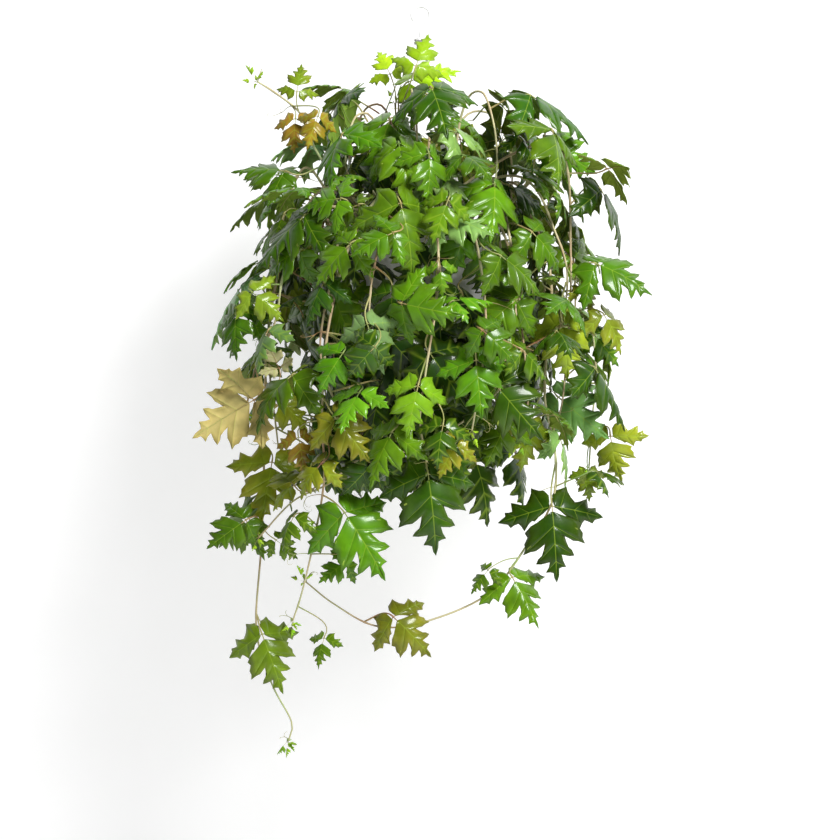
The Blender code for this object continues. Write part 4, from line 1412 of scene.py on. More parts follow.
class LeafletForm:
    """A fine leaflet of length 1, flat: rows of points from the midrib out to both margins."""

    RIB = 0.011
    VEIN = 0.010

    def __init__(self, right: Rows, left: Rows, detail: Detail) -> None:
        """Lay out the points, the veins and the faces of both halves.

        Args:
            right: the right half's outline.
            left: the left half's.
            detail: how finely they are laid out.
        """
        self.columns, self.puffs, self.doubled = detail.value
        self.points: list[tuple[float, ...]] = []
        self.faces: Faces = []
        first = self.half(right, None)
        second = self.half(left, first)
        for grid, flipped in ((first, False), (second, True)):
            for low, high in zip(grid, grid[1:]):
                for a, b, c, d in zip(low, low[1:], high[1:], high):
                    self.faces.append((a, d, c, b) if flipped else (a, b, c, d))
        table = np.array(self.points)
        self.x, self.y, self.puff, self.margin, self.vein = table.T
        self.count = len(table)
        self.close()

    def half(self, rows: Rows, shared: list[list[int]] | None) -> list[list[int]]:
        """Lay out one half.

        Args:
            rows: its outline.
            shared: the first half's rows, for the midrib and the tip, or None for the first half.

        Returns:
            The numbers of its points, row by row, from the midrib out.
        """
        veins = [i for i, row in enumerate(rows) if row[3]]
        grid = []
        for i, (x, y, foot, is_vein) in enumerate(rows):
            away = min(abs(i - v) for v in veins)
            slant = max(abs(x) / math.hypot(x, y - foot), 0.2)
            for step in ((-1, 0, 1) if is_vein and self.doubled else (0,)):
                if shared and i == len(rows) - 1:
                    grid.append(shared[-1])
                    continue
                row = [shared[len(grid)][0]] if shared else []
                for column, share in enumerate(self.columns):
                    if column == 0 and shared:
                        continue
                    if share == 0.12 and x:
                        share = min(self.RIB / abs(x), 0.3)
                    shift = step * (self.VEIN * (1 - 0.75 * share) / slant if column else 0.013)
                    on_vein = 1.0 if column == 0 or (is_vein and step == 0) else 0.0
                    fade = 1.0 - 0.45 * share
                    puff = -0.25 if on_vein else self.puffs[column] * min(1.0, 0.2 + 0.5 * away)
                    row.append(len(self.points))
                    self.points.append((x * share, foot + (y - foot) * share + shift, puff,
                                        share if x else 0.5, on_vein * fade))
                grid.append(row)
        return grid

    def close(self) -> None:
        """Add the under face and the rim to the upper face."""
        used = {}
        for face in self.faces:
            for a, b in zip(face, face[1:] + face[:1]):
                used[(a, b)] = used.get((a, b), 0) + 1
        rim = [(b, a, a + self.count, b + self.count) for a, b in used if (b, a) not in used]
        under = [tuple(i + self.count for i in face[::-1]) for face in self.faces]
        self.shell = self.faces + under + rim
        self.finishes = [0] * len(self.faces) + [1] * len(under) + [0] * len(rim)
        self.corners = np.array(self.faces)


def mirrored(rows: Rows) -> Rows:
    """The same half outline on the other side of the midrib."""
    return tuple((-x, y, foot, vein) for x, y, foot, vein in rows)


def lowered(rows: Rows) -> Rows:
    """A half outline with its lobes a little nearer the base, as the left half has them."""
    return tuple((x, y - 0.12 * 4 * y * (1 - y) if foot else y, foot, vein) for x, y, foot, vein in rows)


INNER_ROWS = tuple((x, y, row[2], row[3]) for (x, y), row in zip(INNER_MARGIN, OUTER_ROWS))


@dataclass
class Foliage:
    """The leaves of one stem gathered into one mesh, with a colour and a vein value at each point."""

    name: str
    points: list[np.ndarray] = field(default_factory=list)
    faces: Faces = field(default_factory=list)
    finishes: list[int] = field(default_factory=list)
    colours: list[np.ndarray] = field(default_factory=list)
    veins: list[np.ndarray] = field(default_factory=list)
    count: int = 0

    def add(self, points: np.ndarray, faces: Faces, finishes: list[int], colours: np.ndarray,
            veins: np.ndarray) -> None:
        """Add a closed shape.

        Args:
            points: its points in metres.
            faces: its faces.
            finishes: the number of each face's material.
            colours: each point's colour.
            veins: how much of a vein each point is.
        """
        start = self.count
        self.points.append(points)
        self.faces += [tuple(i + start for i in face) for face in faces]
        self.finishes += finishes
        self.colours.append(colours)
        self.veins.append(veins)
        self.count += len(points)

    def add_tube(self, line: list[Vector], radii: list[float], sides: int) -> None:
        """Add a stalk or a tendril.

        Args:
            line: its centre line in metres.
            radii: one radius in mm for each point.
            sides: how many sides it has.
        """
        verts, faces = tube_faces(line, radii, sides, capped=True)
        self.add(np.array(verts), faces, [2] * len(faces), np.full((len(verts), 3), 0.2),
                 np.zeros(len(verts)))

    def build(self, materials: list[Material]) -> Piece:
        """Make the object of everything that was added.

        Args:
            materials: upper side, underside and stalk.

        Returns:
            The object.
        """
        mesh = new_mesh(self.name, np.concatenate(self.points).tolist(), self.faces)
        for material in materials:
            mesh.materials.append(material)
        mesh.polygons.foreach_set("material_index", self.finishes)
        mesh.polygons.foreach_set("use_smooth", [True] * len(self.faces))
        colours = mesh.color_attributes.new("leaf_colour", "FLOAT_COLOR", "POINT")
        flat = np.ones((self.count, 4))
        flat[:, :3] = np.concatenate(self.colours)
        colours.data.foreach_set("color", flat.ravel())
        veins = mesh.attributes.new("vein", "FLOAT", "POINT")
        veins.data.foreach_set("value", np.concatenate(self.veins))
        mesh.update()
        return new_object(self.name, mesh)


@dataclass
class Leaves:
    """Fine leaves with stalks, tendrils and young tips."""

    stalk_sides: int = 6
    petiole_steps: int = 9
    stalk_radius: float = 0.75
    leaflet_stalk_radius: float = 0.55
    rib_radius: float = 0.40
    wave: float = 0.020
    puff: float = 0.018
    curl: float = 0.10
    tendril_share: float = 0.40
    tendril_length: Pair = (26.0, 46.0)
    tendril_radius: float = 0.42
    branch_radius: float = 0.30
    tip_size: Pair = (9.0, 14.0)
    tip_bend: Triple = (0.4, 0.9, 30.0)
    tip_tendril: Pair = (16.0, 22.0)
    light: Pair = (0.68, 1.30)
    red: Pair = (0.8, 1.25)
    blue: Pair = (0.8, 1.3)
    browning: Pair = (0.10, 0.5)
    little_brown: float = 0.06
    plain_under: float = 40.0
    full_size: float = 50.0
    forms: dict[Detail, list[LeafletForm]] = field(init=False)

    def __post_init__(self) -> None:
        """Lay out the three leaflets at each level of detail."""
        self.forms = {level: [LeafletForm(TERMINAL_ROWS, mirrored(lowered(TERMINAL_ROWS)), level),
                              LeafletForm(OUTER_ROWS, mirrored(INNER_ROWS), level),
                              LeafletForm(INNER_ROWS, mirrored(OUTER_ROWS), level)] for level in Detail}

    def detail(self, leaf: Leaf) -> Detail:
        """The level of detail that a leaf gets.

        Args:
            leaf: the leaf.

        Returns:
            The finest level, or a plainer one for inner, small and tip leaves.
        """
        if "_tip_" in leaf.name:
            return Detail.TINY
        plain = leaf.name.startswith("curtain") or leaf.size < self.plain_under
        return Detail.PLAIN if plain else Detail.FINE

    def bent(self, leaf: Leaf, leaflet: LeafletFrame, x: np.ndarray, y: np.ndarray,
             raised: np.ndarray) -> np.ndarray:
        """Points of a flat leaflet laid on the leaf's bent surface.

        Args:
            leaf: the leaf.
            leaflet: direction, upper side, scale and stalk of the leaflet.
            x: across the leaflet, with its length 1.
            y: along it.
            raised: height over the surface, with its length 1.

        Returns:
            One row of metres for each point.
        """
        out, up, scale, stalk = leaflet
        arch, fold, _ = leaf.bend
        length = leaf.size * scale * MM
        lift = -np.abs(x) * math.sin(fold) + raised
        forward = np.sin(arch * y) / arch + lift * np.sin(arch * y)
        height = (np.cos(arch * y) - 1) / arch + lift * np.cos(arch * y)
        side = np.array(out.cross(up))
        base = np.array(leaf.place + out * stalk * MM)
        return base + (np.outer(x * math.cos(fold), side) + np.outer(forward, np.array(out))
                       + np.outer(height, np.array(up))) * length

    def blade(self, foliage: Foliage, leaf: Leaf) -> None:
        """Three leaflets with veins, waves and thickness, their stalks and their ribs.

        Args:
            foliage: what they are added to.
            leaf: the leaf.
        """
        draw = Random(leaf.name + " look")
        upper, under = (np.array(side) for side in leaf.tone.value)
        jitter = draw.uniform(*self.light) * np.array([draw.uniform(*self.red), 1.0,
                                                       draw.uniform(*self.blue)])
        ageing = leaf.tone in (Tone.OLIVE, Tone.BRONZE, Tone.BEIGE)
        brown = draw.uniform(*self.browning) if ageing else self.little_brown
        frames = leaflet_frames(leaf.out, leaf.up, leaf.bend[2])
        for form, leaflet in zip(self.forms[self.detail(leaf)], frames):
            phase, sway = draw.uniform(0, 6.28), draw.uniform(-0.035, 0.035)
            ripple = np.sin(phase + 17 * form.y + 4 * np.sign(form.x)) * form.margin ** 3
            raised = self.puff * form.puff + self.wave * ripple - self.curl * form.x ** 2
            middle = self.bent(leaf, leaflet, form.x + sway * form.y ** 2, form.y, raised)
            corners = middle[form.corners]
            areas = np.cross(corners[:, 2] - corners[:, 0], corners[:, 3] - corners[:, 1])
            normals = np.zeros_like(middle)
            for k in range(4):
                np.add.at(normals, form.corners[:, k], areas)
            normals /= np.maximum(np.linalg.norm(normals, axis=1, keepdims=True), 1e-12)
            half = normals * GROWTH.blade_half * MM
            edge = (brown * form.margin ** 2)[:, None]
            top, low = (side * jitter * (1 - edge) + np.array(margin) * edge
                        for side, margin in zip((upper, under), BROWN_MARGINS))
            foliage.add(np.concatenate((middle + half, middle - half)), form.shell, form.finishes,
                        np.concatenate((top, low)), np.concatenate((form.vein, form.vein)))
            along = np.array((0.0, 0.25, 0.5, 0.75, 0.92))
            rib = self.bent(leaf, leaflet, sway * along ** 2, along,
                            np.full(5, -0.25 * self.puff - 0.3 / (leaf.size * leaflet[2])))
            thin = min(1.0, leaf.size / self.full_size)
            line = [leaf.place] + [Vector(p) for p in rib]
            radii = [self.leaflet_stalk_radius] * 2
            radii += [self.rib_radius * share for share in (0.9, 0.7, 0.45, 0.25)]
            foliage.add_tube(line, [r * thin for r in radii], 5)

    def petiole(self, foliage: Foliage, leaf: Leaf) -> None:
        """The leaf's stalk from inside the stem into the hub.

        Args:
            foliage: what it is added to.
            leaf: the leaf.
        """
        stops = tuple(i / self.petiole_steps for i in range(self.petiole_steps + 1))
        line = petiole_line(leaf.root, leaf.place, leaf.out, leaf.up, stops)
        line.append(leaf.place + leaf.out * 0.8 * MM)
        thin = min(1.0, leaf.size / self.full_size) ** 0.5
        radii = [self.stalk_radius * thin * (1.25 - 0.35 * i / len(line)) for i in range(len(line))]
        radii[-2:] = [self.stalk_radius * thin * 1.2] * 2
        foliage.add_tube(line, radii, self.stalk_sides)

    def tendril(self, foliage: Foliage, root: Vector, aim: Vector, length: float,
                draw: Random) -> None:
        """A forked thread that ends in a curl on each branch.

        Args:
            foliage: what it is added to.
            root: where it leaves the stem.
            aim: the way that it starts.
            length: mm from root to tip, about.
            draw: the random numbers in use.
        """
        trunk = [root]
        heading = aim.normalized()
        for _ in range(6):
            heading = (heading + Vector((0, 0, -0.07))).normalized()
            trunk.append(trunk[-1] + heading * length / 14 * MM)
        foliage.add_tube(trunk, [self.tendril_radius - 0.02 * i for i in range(7)], 5)
        for sign, share in ((1, 1.0), (-1, 0.7)):
            axis = Quaternion(heading, draw.uniform(0, 6.28)) @ heading.orthogonal().normalized()
            turned = Quaternion(axis, sign * 0.35) @ heading
            branch = [trunk[-1]]
            for i in range(16):
                turned = Quaternion(axis, sign * (0.04 + 0.62 * (i / 15) ** 2.2)) @ turned
                branch.append(branch[-1] + (turned + axis * 0.06) * length * share / 26 * MM)
            foliage.add_tube(branch, [self.branch_radius - 0.011 * i for i in range(17)], 5)

    def young_tip(self, foliage: Foliage, stem: Stem, draw: Random) -> None:
        """Small pale folded leaves and a tendril at the end of a stem.

        Args:
            foliage: what they are added to.
            stem: the stem.
            draw: the random numbers in use.
        """
        end, before = stem.fine[-1], stem.fine[-3]
        ahead = (end - before).normalized()
        outward = Vector((end.x, end.y - 0.03, 0.02)).normalized()
        side = ahead.cross(outward).normalized()
        for sign, share in ((1, 1.0), (-1, 0.7)):
            out = (ahead + side * sign * 0.5 + outward * 0.2).normalized()
            up = (outward - out * outward.dot(out)).normalized()
            leaf = Leaf(f"{stem.name}_tip_{sign}", end, end + out * 3 * MM, out, up,
                        draw.uniform(*self.tip_size) * share, self.tip_bend, Tone.LIME)
            self.blade(foliage, leaf)
            foliage.add_tube([end - ahead * MM, end + out * 3.4 * MM], [0.5, 0.35], 5)
        aim = side + ahead * 0.2 + Vector((0, 0, 0.5))
        self.tendril(foliage, end, aim, draw.uniform(*self.tip_tendril), draw)

    def build(self, stem: Stem, materials: list[Material]) -> Piece:
        """Every leaf, tendril and tip of one stem as one piece.

        Args:
            stem: the stem.
            materials: upper side, underside and stalk.

        Returns:
            The piece.
        """
        foliage = Foliage("ivy_leaves_" + stem.name[-2:])
        draw = Random(stem.name + " tendrils")
        for leaf in stem.leaves:
            self.petiole(foliage, leaf)
            self.blade(foliage, leaf)
            if draw.random() < self.tendril_share:
                away = leaf.root - leaf.place
                away = Vector((away.x, away.y, 0)) + jolt(draw) * 0.01
                self.tendril(foliage, leaf.root, away, draw.uniform(*self.tendril_length), draw)
        self.young_tip(foliage, stem, draw)
        return foliage.build(materials)


class GeometryTree(NodeTree):
    """A Geometry Nodes tree with named inputs, which ends in Realize Instances and Set Material."""

    def __init__(self, name: str, inputs: list[tuple[str, str, object]]) -> None:
        """Start a tree.

        Args:
            name: its name.
            inputs: each input's name, socket type and default.
        """
        super().__init__(bpy.data.node_groups.new(name, "GeometryNodeTree"))
        face = self.tree.interface
        face.new_socket("Geometry", in_out="INPUT", socket_type="NodeSocketGeometry")
        self.ids = {}
        for label, kind, default in inputs:
            socket = face.new_socket(label, in_out="INPUT", socket_type=kind)
            if default is not None:
                socket.default_value = default
            self.ids[label] = socket.identifier
        face.new_socket("Geometry", in_out="OUTPUT", socket_type="NodeSocketGeometry")
        self.start, self.end = self.add("NodeGroupInput"), self.add("NodeGroupOutput")

    def given(self, label: str) -> Socket:
        """The tree's own input of this name."""
        return self.start.outputs[label]

    def close(self, geometry: Socket, material: str) -> None:
        """End the tree with its copies made real and its material set.

        Args:
            geometry: what it makes.
            material: the name of its material input.
        """
        real = self.add("GeometryNodeRealizeInstances", {"Geometry": geometry})
        dressed = self.add("GeometryNodeSetMaterial",
                           {"Geometry": real.outputs[0], "Material": self.given(material)})
        self.join(dressed.outputs[0], self.end.inputs[0])

    def run(self, name: str, carrier: Piece, values: dict[str, object]) -> Piece:
        """Run the tree on an object and keep the result as a plain mesh object.

        Args:
            name: the result's name.
            carrier: the object that the tree starts from; it is removed.
            values: what the named inputs are set to.

        Returns:
            The new object.
        """
        modifier = carrier.modifiers.new(name, "NODES")
        modifier.node_group = self.tree
        for label, value in values.items():
            modifier[self.ids[label]] = value
        graph = bpy.context.evaluated_depsgraph_get()
        mesh = bpy.data.meshes.new_from_object(carrier.evaluated_get(graph))
        carrier.modifiers.clear()
        bpy.data.objects.remove(carrier, do_unlink=True)
        return new_object(name, mesh)


@dataclass
class Vines:
    """The stems' own bodies: round, thinning to the tip, with a swelling where a leaf leaves."""

    sides: int = 10
    swelling: float = 0.35
    swelling_reach: float = 3.0
    tree: GeometryTree = field(init=False)

    def __post_init__(self) -> None:
        """Make the tree that gives a line its thickness."""
        tree = GeometryTree("vine along a line", [("Sides", "NodeSocketInt", 10),
                                                  ("Thickness", "NodeSocketFloat", 1.0),
                                                  ("Bark", "NodeSocketMaterial", None)])
        ring = tree.add("GeometryNodeCurvePrimitiveCircle",
                        {"Resolution": tree.given("Sides"), "Radius": 1.0})
        radius = tree.add("GeometryNodeInputRadius")
        scale = tree.add("ShaderNodeMath", {0: radius.outputs[0], 1: tree.given("Thickness")},
                         operation="MULTIPLY")
        tube = tree.add("GeometryNodeCurveToMesh",
                        {"Curve": tree.given("Geometry"), "Profile Curve": ring.outputs[0],
                         "Scale": scale.outputs[0], "Fill Caps": True})
        tree.close(tube.outputs[0], "Bark")
        self.tree = tree

    def build(self, stem: Stem, bark: Material) -> Piece:
        """One stem's vine.

        Args:
            stem: the stem.
            bark: its finish.

        Returns:
            The piece.
        """
        name = "ivy_vine_" + stem.name[-2:]
        curve = bpy.data.curves.new(name + "_line", "CURVE")
        curve.dimensions = "3D"
        spline = curve.splines.new("POLY")
        spline.points.add(len(stem.fine) - 1)
        count = len(stem.fine) - 1
        roots = [leaf.root for leaf in stem.leaves]
        for i, (place, point) in enumerate(zip(spline.points, stem.fine)):
            near = min(((point - root).length / MM for root in roots), default=99.0)
            swell = 1.0 + self.swelling * math.exp(-(near / self.swelling_reach) ** 2)
            place.co = (*point, 1.0)
            thick = GROWTH.stem_radius + (GROWTH.stem_tip_radius - GROWTH.stem_radius) * i / count
            place.radius = thick * swell * MM
        carrier = bpy.data.objects.new(name + "_line", curve)
        bpy.context.scene.collection.objects.link(carrier)
        made = self.tree.run(name, carrier, {"Sides": self.sides, "Thickness": 1.0, "Bark": bark})
        made.data.polygons.foreach_set("use_smooth", [True] * len(made.data.polygons))
        return made


@dataclass
class PotBody:
    """The pot: a tapered body under a rounded lip, with a raised foot."""

    sizes: PotSizes = POT
    sides: int = 96

    def build(self) -> None:
        """Turn the pot's profile and dress it."""
        s = self.sizes
        base, rim, lip = s.base, s.rim, s.top_radius + s.lip_width

        def outside(height: float) -> float:
            """Outer radius at a height above the base."""
            return s.base_radius + (s.top_radius - s.base_radius) * height / s.height

        profile = [(0, base + s.wall), (outside(s.wall) - s.wall - 3, base + s.wall),
                   (outside(s.wall) - s.wall - 0.9, base + s.wall + 0.8),
                   (outside(s.wall) - s.wall, base + s.wall + 3)]
        profile += [(outside(h) - s.wall, base + h) for h in (30, 60, 90, 110, 118)]
        profile += [(s.top_radius - s.wall, rim - 1.2), (s.top_radius - s.wall + 0.4, rim - 0.4),
                    (s.top_radius - s.wall + 1.2, rim), (lip - 1.4, rim), (lip - 0.5, rim - 0.3),
                    (lip, rim - 1.2), (lip, rim - s.lip_height + 0.9),
                    (lip - 0.3, rim - s.lip_height + 0.3),
                    (lip - 0.9, rim - s.lip_height), (outside(113) + 0.6, rim - s.lip_height),
                    (outside(112), rim - s.lip_height - 1)]
        profile += [(outside(h), base + h) for h in (96, 90.6, 90, 87, 86.4, 60, 30, 5)]
        profile[-6] = (outside(90) - 0.5, base + 90)
        profile[-5] = (outside(87) - 0.5, base + 87)
        profile += [(outside(2.5) - 0.2, base + 2.5), (outside(1) - 0.8, base + 0.8),
                    (s.base_radius - 2.2, base), (s.base_radius - 7, base),
                    (s.base_radius - 8, base + 1.2), (0, base + 1.2)]
        pot = lathe("pot_body", profile, self.sides)
        pot.data.materials.append(POT_WHITE.material())
        dress(pot, "pot")


@dataclass
class SoilBed:
    """Potting soil with an uneven top, crumbs and pale beads."""

    rings: int = 26
    sides: int = 80
    unevenness: float = 1.6
    crumbs_per_area: float = 70000.0
    beads_per_area: float = 4500.0
    crumb_size: float = 1.5
    bead_size: float = 1.6
    seed: int = 5

    def radius(self) -> float:
        """The soil's radius at its top in mm."""
        share = 1 - POT.soil_below_rim / POT.height
        return POT.base_radius + (POT.top_radius - POT.base_radius) * share - POT.wall - 1.1

    def bed(self) -> Piece:
        """The closed body of the soil.

        Returns:
            The object.
        """
        draw = np.random.default_rng(self.seed)
        waves = [(draw.uniform(0.05, 0.35), draw.uniform(0, 6.28), draw.uniform(0, 6.28))
                 for _ in range(14)]
        verts = [(0.0, 0.0, POT.soil_top * MM)]
        for r in range(1, self.rings + 1):
            for k in range(self.sides):
                place = around(360 * k / self.sides, self.radius() * r / self.rings, 0)
                x, y = place.x / MM, place.y / MM
                rise = sum(math.sin(f * (x * math.cos(a) + y * math.sin(a)) + p)
                           for f, a, p in waves) / 5
                fade = 1 - (r / self.rings) ** 6
                height = POT.soil_top + self.unevenness * rise * fade - 1.2
                verts.append((place.x, place.y, height * MM))
        low = around(0, POT.base_radius - POT.wall - 0.6, POT.base + POT.wall + 0.3)
        start = len(verts)
        for k in range(self.sides):
            turned = around(360 * k / self.sides, low.x / MM, low.z / MM)
            verts.append(tuple(turned))
        verts.append((0.0, 0.0, low.z))
        faces = []
        for k in range(self.sides):
            n = (k + 1) % self.sides
            faces.append((0, 1 + k, 1 + n))
            for r in range(self.rings):
                a = 1 + r * self.sides
                b = a + self.sides
                faces.append((a + k, b + k, b + n, a + n))
            faces.append((start + n, start + k, len(verts) - 1))
        mesh = new_mesh("soil_bed", verts, faces)
        round_off(mesh, 60)
        mesh.materials.append(SOIL_DARK.material())
        return new_object("soil_bed", mesh)

    def scatter(self) -> GeometryTree:
        """The tree that strews crumbs over a surface.

        Returns:
            The tree.
        """
        tree = GeometryTree("crumbs over a surface", [("Crumbs per area", "NodeSocketFloat", 60000.0),
                                                      ("Crumb size", "NodeSocketFloat", 0.0015),
                                                      ("Seed", "NodeSocketInt", 5),
                                                      ("Finish", "NodeSocketMaterial", None)])
        points = tree.add("GeometryNodeDistributePointsOnFaces",
                          {"Mesh": tree.given("Geometry"), "Density": tree.given("Crumbs per area"),
                           "Seed": tree.given("Seed")})
        crumb = tree.add("GeometryNodeMeshIcoSphere",
                         {"Radius": tree.given("Crumb size"), "Subdivisions": 1})
        size = tree.add("FunctionNodeRandomValue", {"Seed": tree.given("Seed"), 0: (0.35, 0.35, 0.25),
                                                    1: (1.0, 1.0, 0.7)}, data_type="FLOAT_VECTOR")
        turn = tree.add("FunctionNodeRandomValue", {1: (6.28, 6.28, 6.28)}, data_type="FLOAT_VECTOR")
        strewn = tree.add("GeometryNodeInstanceOnPoints",
                          {"Points": points.outputs["Points"], "Instance": crumb.outputs["Mesh"],
                           "Rotation": turn.outputs[0], "Scale": size.outputs[0]})
        tree.close(strewn.outputs[0], "Finish")
        return tree

    def build(self) -> None:
        """Make the bed and what lies on it, and dress them."""
        bed = self.bed()
        tree = self.scatter()
        pieces = [bed]
        strewn = (("soil_crumbs", self.crumbs_per_area, self.crumb_size, SOIL_DARK),
                  ("soil_beads", self.beads_per_area, self.bead_size, SOIL_BEAD))
        for name, amount, size, finish in strewn:
            ring = [around(360 * k / 24, self.radius() - 2.5, POT.soil_top - 0.6) for k in range(24)]
            carrier = new_object("disc", new_mesh("disc", ring, [tuple(range(24))]))
            pieces.append(tree.run(name, carrier, {"Crumbs per area": amount, "Crumb size": size * MM,
                                                   "Seed": self.seed + len(pieces),
                                                   "Finish": finish.material()}))
        for piece in pieces:
            dress(piece, "soil" if piece is bed else None)


@dataclass
class Hanger:
    """The wire hook with its spool, and three flat straps down to the pot's lip."""

    sizes: HangerSizes = HANGER
    wire_sides: int = 16
    spool_sides: int = 40
    corner: float = 0.35

    def hook(self) -> Piece:
        """The wire and the spool in one piece.

        Returns:
            The object.
        """
        s = self.sizes
        route = hook_route(36)
        line = smooth_line(route[:4], 1.5)[:-1] + route[3:]
        ends = [s.wire_radius] * (len(line) - 1) + [s.wire_radius * 0.7]
        verts, faces = tube_faces(line, ends, self.wire_sides, capped=True)
        wire = new_mesh("hanging_hook", verts, faces)
        groove = s.strap_thickness + 2 * s.gap
        top = -s.shank_bottom + s.spool_disc
        under, low = top - s.spool_disc - groove, top - 2 * s.spool_disc - groove
        r, c = s.spool_radius, self.corner
        profile = [(0, top), (r - c, top), (r, top - c), (r, top - s.spool_disc + c),
                   (r - c, top - s.spool_disc), (s.spool_neck, top - s.spool_disc),
                   (s.spool_neck, under), (r - c, under), (r, under - c), (r, low + c),
                   (r - c, low), (0, low)]
        spool = lathe("spool", profile, self.spool_sides)
        work = bmesh.new()
        work.from_mesh(wire)
        work.from_mesh(spool.data)
        work.to_mesh(wire)
        work.free()
        bpy.data.objects.remove(spool, do_unlink=True)
        round_off(wire)
        return new_object("hanging_hook", wire)

    def strap(self, number: int, turn: float) -> Piece:
        """One strap: a flat section with rounded edges along its line.

        Args:
            number: its number, from 1.
            turn: degrees about the pot's axis.

        Returns:
            The object.
        """
        s = self.sizes
        corners = strap_line(turn)
        line = [corners[0]]
        for a, b, c in zip(corners, corners[1:], corners[2:]):
            into = b + (a - b).normalized() * 0.9 * MM
            away = b + (c - b).normalized() * 0.9 * MM
            line += [into, (into + away + b * 2) / 4, away]
        line.append(corners[-1])
        angle = math.radians(turn)
        across = Vector((-math.sin(angle), math.cos(angle), 0))
        w, t, c = s.strap_width / 2, s.strap_thickness / 2, self.corner
        upper = ((w, t - c), (w - c, t), (0, t * 0.8), (c - w, t), (-w, t - c))
        section = upper + tuple((x, -y) for x, y in upper[::-1])
        verts = []
        for i, point in enumerate(line):
            ahead = (line[min(i + 1, len(line) - 1)] - line[max(i - 1, 0)]).normalized()
            over = across.cross(ahead)
            verts += [point + (across * x + over * z) * MM for x, z in section]
        n = len(section)
        faces = ring_faces(len(line), n)
        faces += [tuple(range(n)), tuple(range(len(verts) - n, len(verts)))]
        mesh = new_mesh("strap", verts, faces)
        work = bmesh.new()
        work.from_mesh(mesh)
        bmesh.ops.recalc_face_normals(work, faces=work.faces)
        work.to_mesh(mesh)
        work.free()
        round_off(mesh)
        return new_object(f"hanging_strap_{number}", mesh)

    def build(self) -> None:
        """Make the hook and the straps, and dress them."""
        finish = HANGER_WHITE.material()
        made = {"hanger_hook": self.hook()}
        for number, turn in enumerate(self.sizes.strap_turns, 1):
            made[f"hanger_strap_{number}"] = self.strap(number, turn)
        for node, piece in made.items():
            piece.data.materials.append(finish)
            dress(piece, node)


@dataclass
class Ivy:
    """The whole plant: vines and leaves of every stem."""

    leaves: Leaves = field(default_factory=Leaves)
    vines: Vines = field(default_factory=Vines)

    def build(self) -> None:
        """Grow the stems, then make and dress their vines and leaves."""
        grower = Grower()
        grower.grow()
        grown = sum(len(stem.leaves) for stem in grower.stems)
        grower.thicken()
        near = sum(len(stem.leaves) for stem in grower.stems)
        grower.curtain()
        total = sum(len(stem.leaves) for stem in grower.stems)
        LOG.info("%d stems, %d leaves as in the solids, %d with small ones, %d in all",
                 len(grower.stems), grown, near, total)
        sides = [LEAF_TOP.material(), LEAF_UNDER.material(), LEAF_STALK.material()]
        bark = VINE_BARK.material()
        for stem in grower.stems:
            for piece in (self.vines.build(stem, bark), self.leaves.build(stem, sides)):
                dress(piece, stem.name)


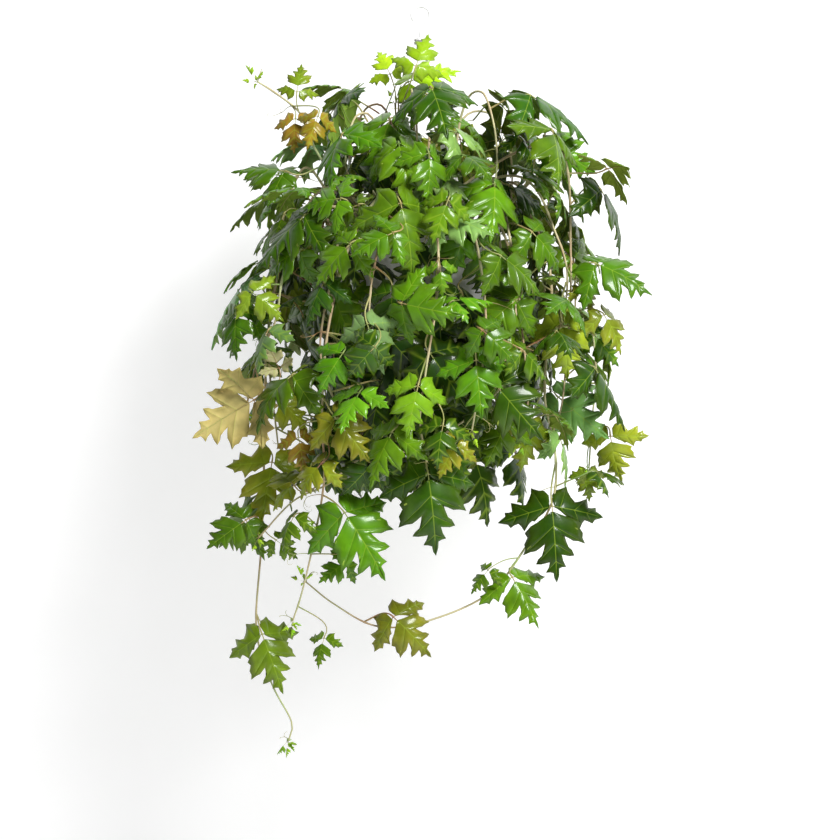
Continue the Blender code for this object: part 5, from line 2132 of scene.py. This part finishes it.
@dataclass
class Studio:
    """Pale floor and wall, soft lights and the camera."""

    floor_level: float = -0.90
    wall_behind: float = 0.24
    camera_back: float = 2.4
    camera_level: float = -0.412
    lens: float = 102.857
    floor_pale: float = 0.70
    wall_pale: float = 0.50
    sheet_reach: float = 4.0
    wall_top: float = 3.5
    key_place: Triple = (0.85, -1.35, 0.75)
    key_aim: Triple = (0.0, 0.0, -0.35)
    key_power: float = 62.0
    key_size: float = 0.7
    fill_place: Triple = (-1.6, -1.6, 0.1)
    fill_aim: Triple = (0.0, 0.0, -0.4)
    fill_power: float = 2.5
    fill_size: float = 1.6
    sky: float = 0.03
    backdrop: float = 0.92
    glow: float = 0.60
    floor_glow: float = 0.25

    def sheet(self, name: str, corners: list[Triple], one_sided: bool) -> Piece:
        """A flat pale sheet.

        Args:
            name: its name.
            corners: its corners in metres.
            one_sided: whether it is open to view from behind.

        Returns:
            The object.
        """
        mesh = new_mesh(name, corners, [(0, 1, 2, 3)])
        w = Wiring(name)
        pale, glow = (self.wall_pale, self.glow) if one_sided else (self.floor_pale, self.floor_glow)
        w.dress({"Base Color": (pale, pale, pale, 1), "Roughness": 0.9, "Specular IOR Level": 0.1,
                 "Emission Color": (1.0, 1.0, 1.0, 1), "Emission Strength": glow})
        if one_sided:
            side, clear = w.add("ShaderNodeNewGeometry"), w.add("ShaderNodeBsdfTransparent")
            both = w.add("ShaderNodeMixShader", {0: side.outputs["Backfacing"], 1: w.shader.outputs[0],
                                                 2: clear.outputs[0]})
            w.join(both.outputs[0], w.tree.nodes["Material Output"].inputs["Surface"])
        mesh.materials.append(w.material)
        made = new_object(name, mesh)
        return made

    def light(self, name: str, place: Triple, aim: Triple, size: float, power: float) -> None:
        """A soft square light.

        Args:
            name: its name.
            place: where it stands, in metres.
            aim: the point that it lights.
            size: its side in metres.
            power: its power in watts.
        """
        lamp = bpy.data.lights.new(name, "AREA")
        lamp.size = size
        lamp.energy = power
        made = bpy.data.objects.new(name, lamp)
        made.location = place
        made.rotation_euler = (Vector(aim) - Vector(place)).to_track_quat("-Z", "Y").to_euler()
        bpy.context.scene.collection.objects.link(made)

    def build(self) -> None:
        """Set the stage, the lights and the camera."""
        low, back, far, top = self.floor_level, self.wall_behind, self.sheet_reach, self.wall_top
        ground = [(-far, -far, low), (far, -far, low), (far, far, low), (-far, far, low)]
        upright = [(-far, back, low), (far, back, low), (far, back, top), (-far, back, top)]
        self.sheet("floor", ground, False)
        self.sheet("wall", upright, True)
        self.light("key", self.key_place, self.key_aim, self.key_size, self.key_power)
        self.light("fill", self.fill_place, self.fill_aim, self.fill_size, self.fill_power)
        scene = bpy.context.scene
        scene.world = scene.world or bpy.data.worlds.new("studio")
        scene.world.use_nodes = True
        world = NodeTree(scene.world.node_tree)
        sky, seen = world.tree.nodes["Background"], world.add("ShaderNodeBackground")
        for background, strength in ((sky, self.sky), (seen, self.backdrop)):
            world.fill(background, {"Color": (0.98, 0.98, 0.98, 1), "Strength": strength})
        rays = world.add("ShaderNodeLightPath")
        both = world.add("ShaderNodeMixShader", {0: rays.outputs["Is Camera Ray"], 1: sky.outputs[0],
                                                 2: seen.outputs[0]})
        world.join(both.outputs[0], world.tree.nodes["World Output"].inputs["Surface"])
        scene.view_settings.view_transform = "Standard"
        lens = bpy.data.cameras.new("camera")
        lens.lens = self.lens
        lens.sensor_width = 36.0
        camera = bpy.data.objects.new("camera", lens)
        camera.location = (-MM, -self.camera_back, self.camera_level)
        camera.rotation_euler = (math.radians(90), 0, 0)
        scene.collection.objects.link(camera)
        scene.camera = camera


def main() -> None:
    """Build the object piece by piece, then the stage."""
    logging.basicConfig(level=logging.INFO, format="%(message)s")
    PotBody().build()
    SoilBed().build()
    Hanger().build()
    Ivy().build()
    Studio().build()


if __name__ == "__main__":
    main()
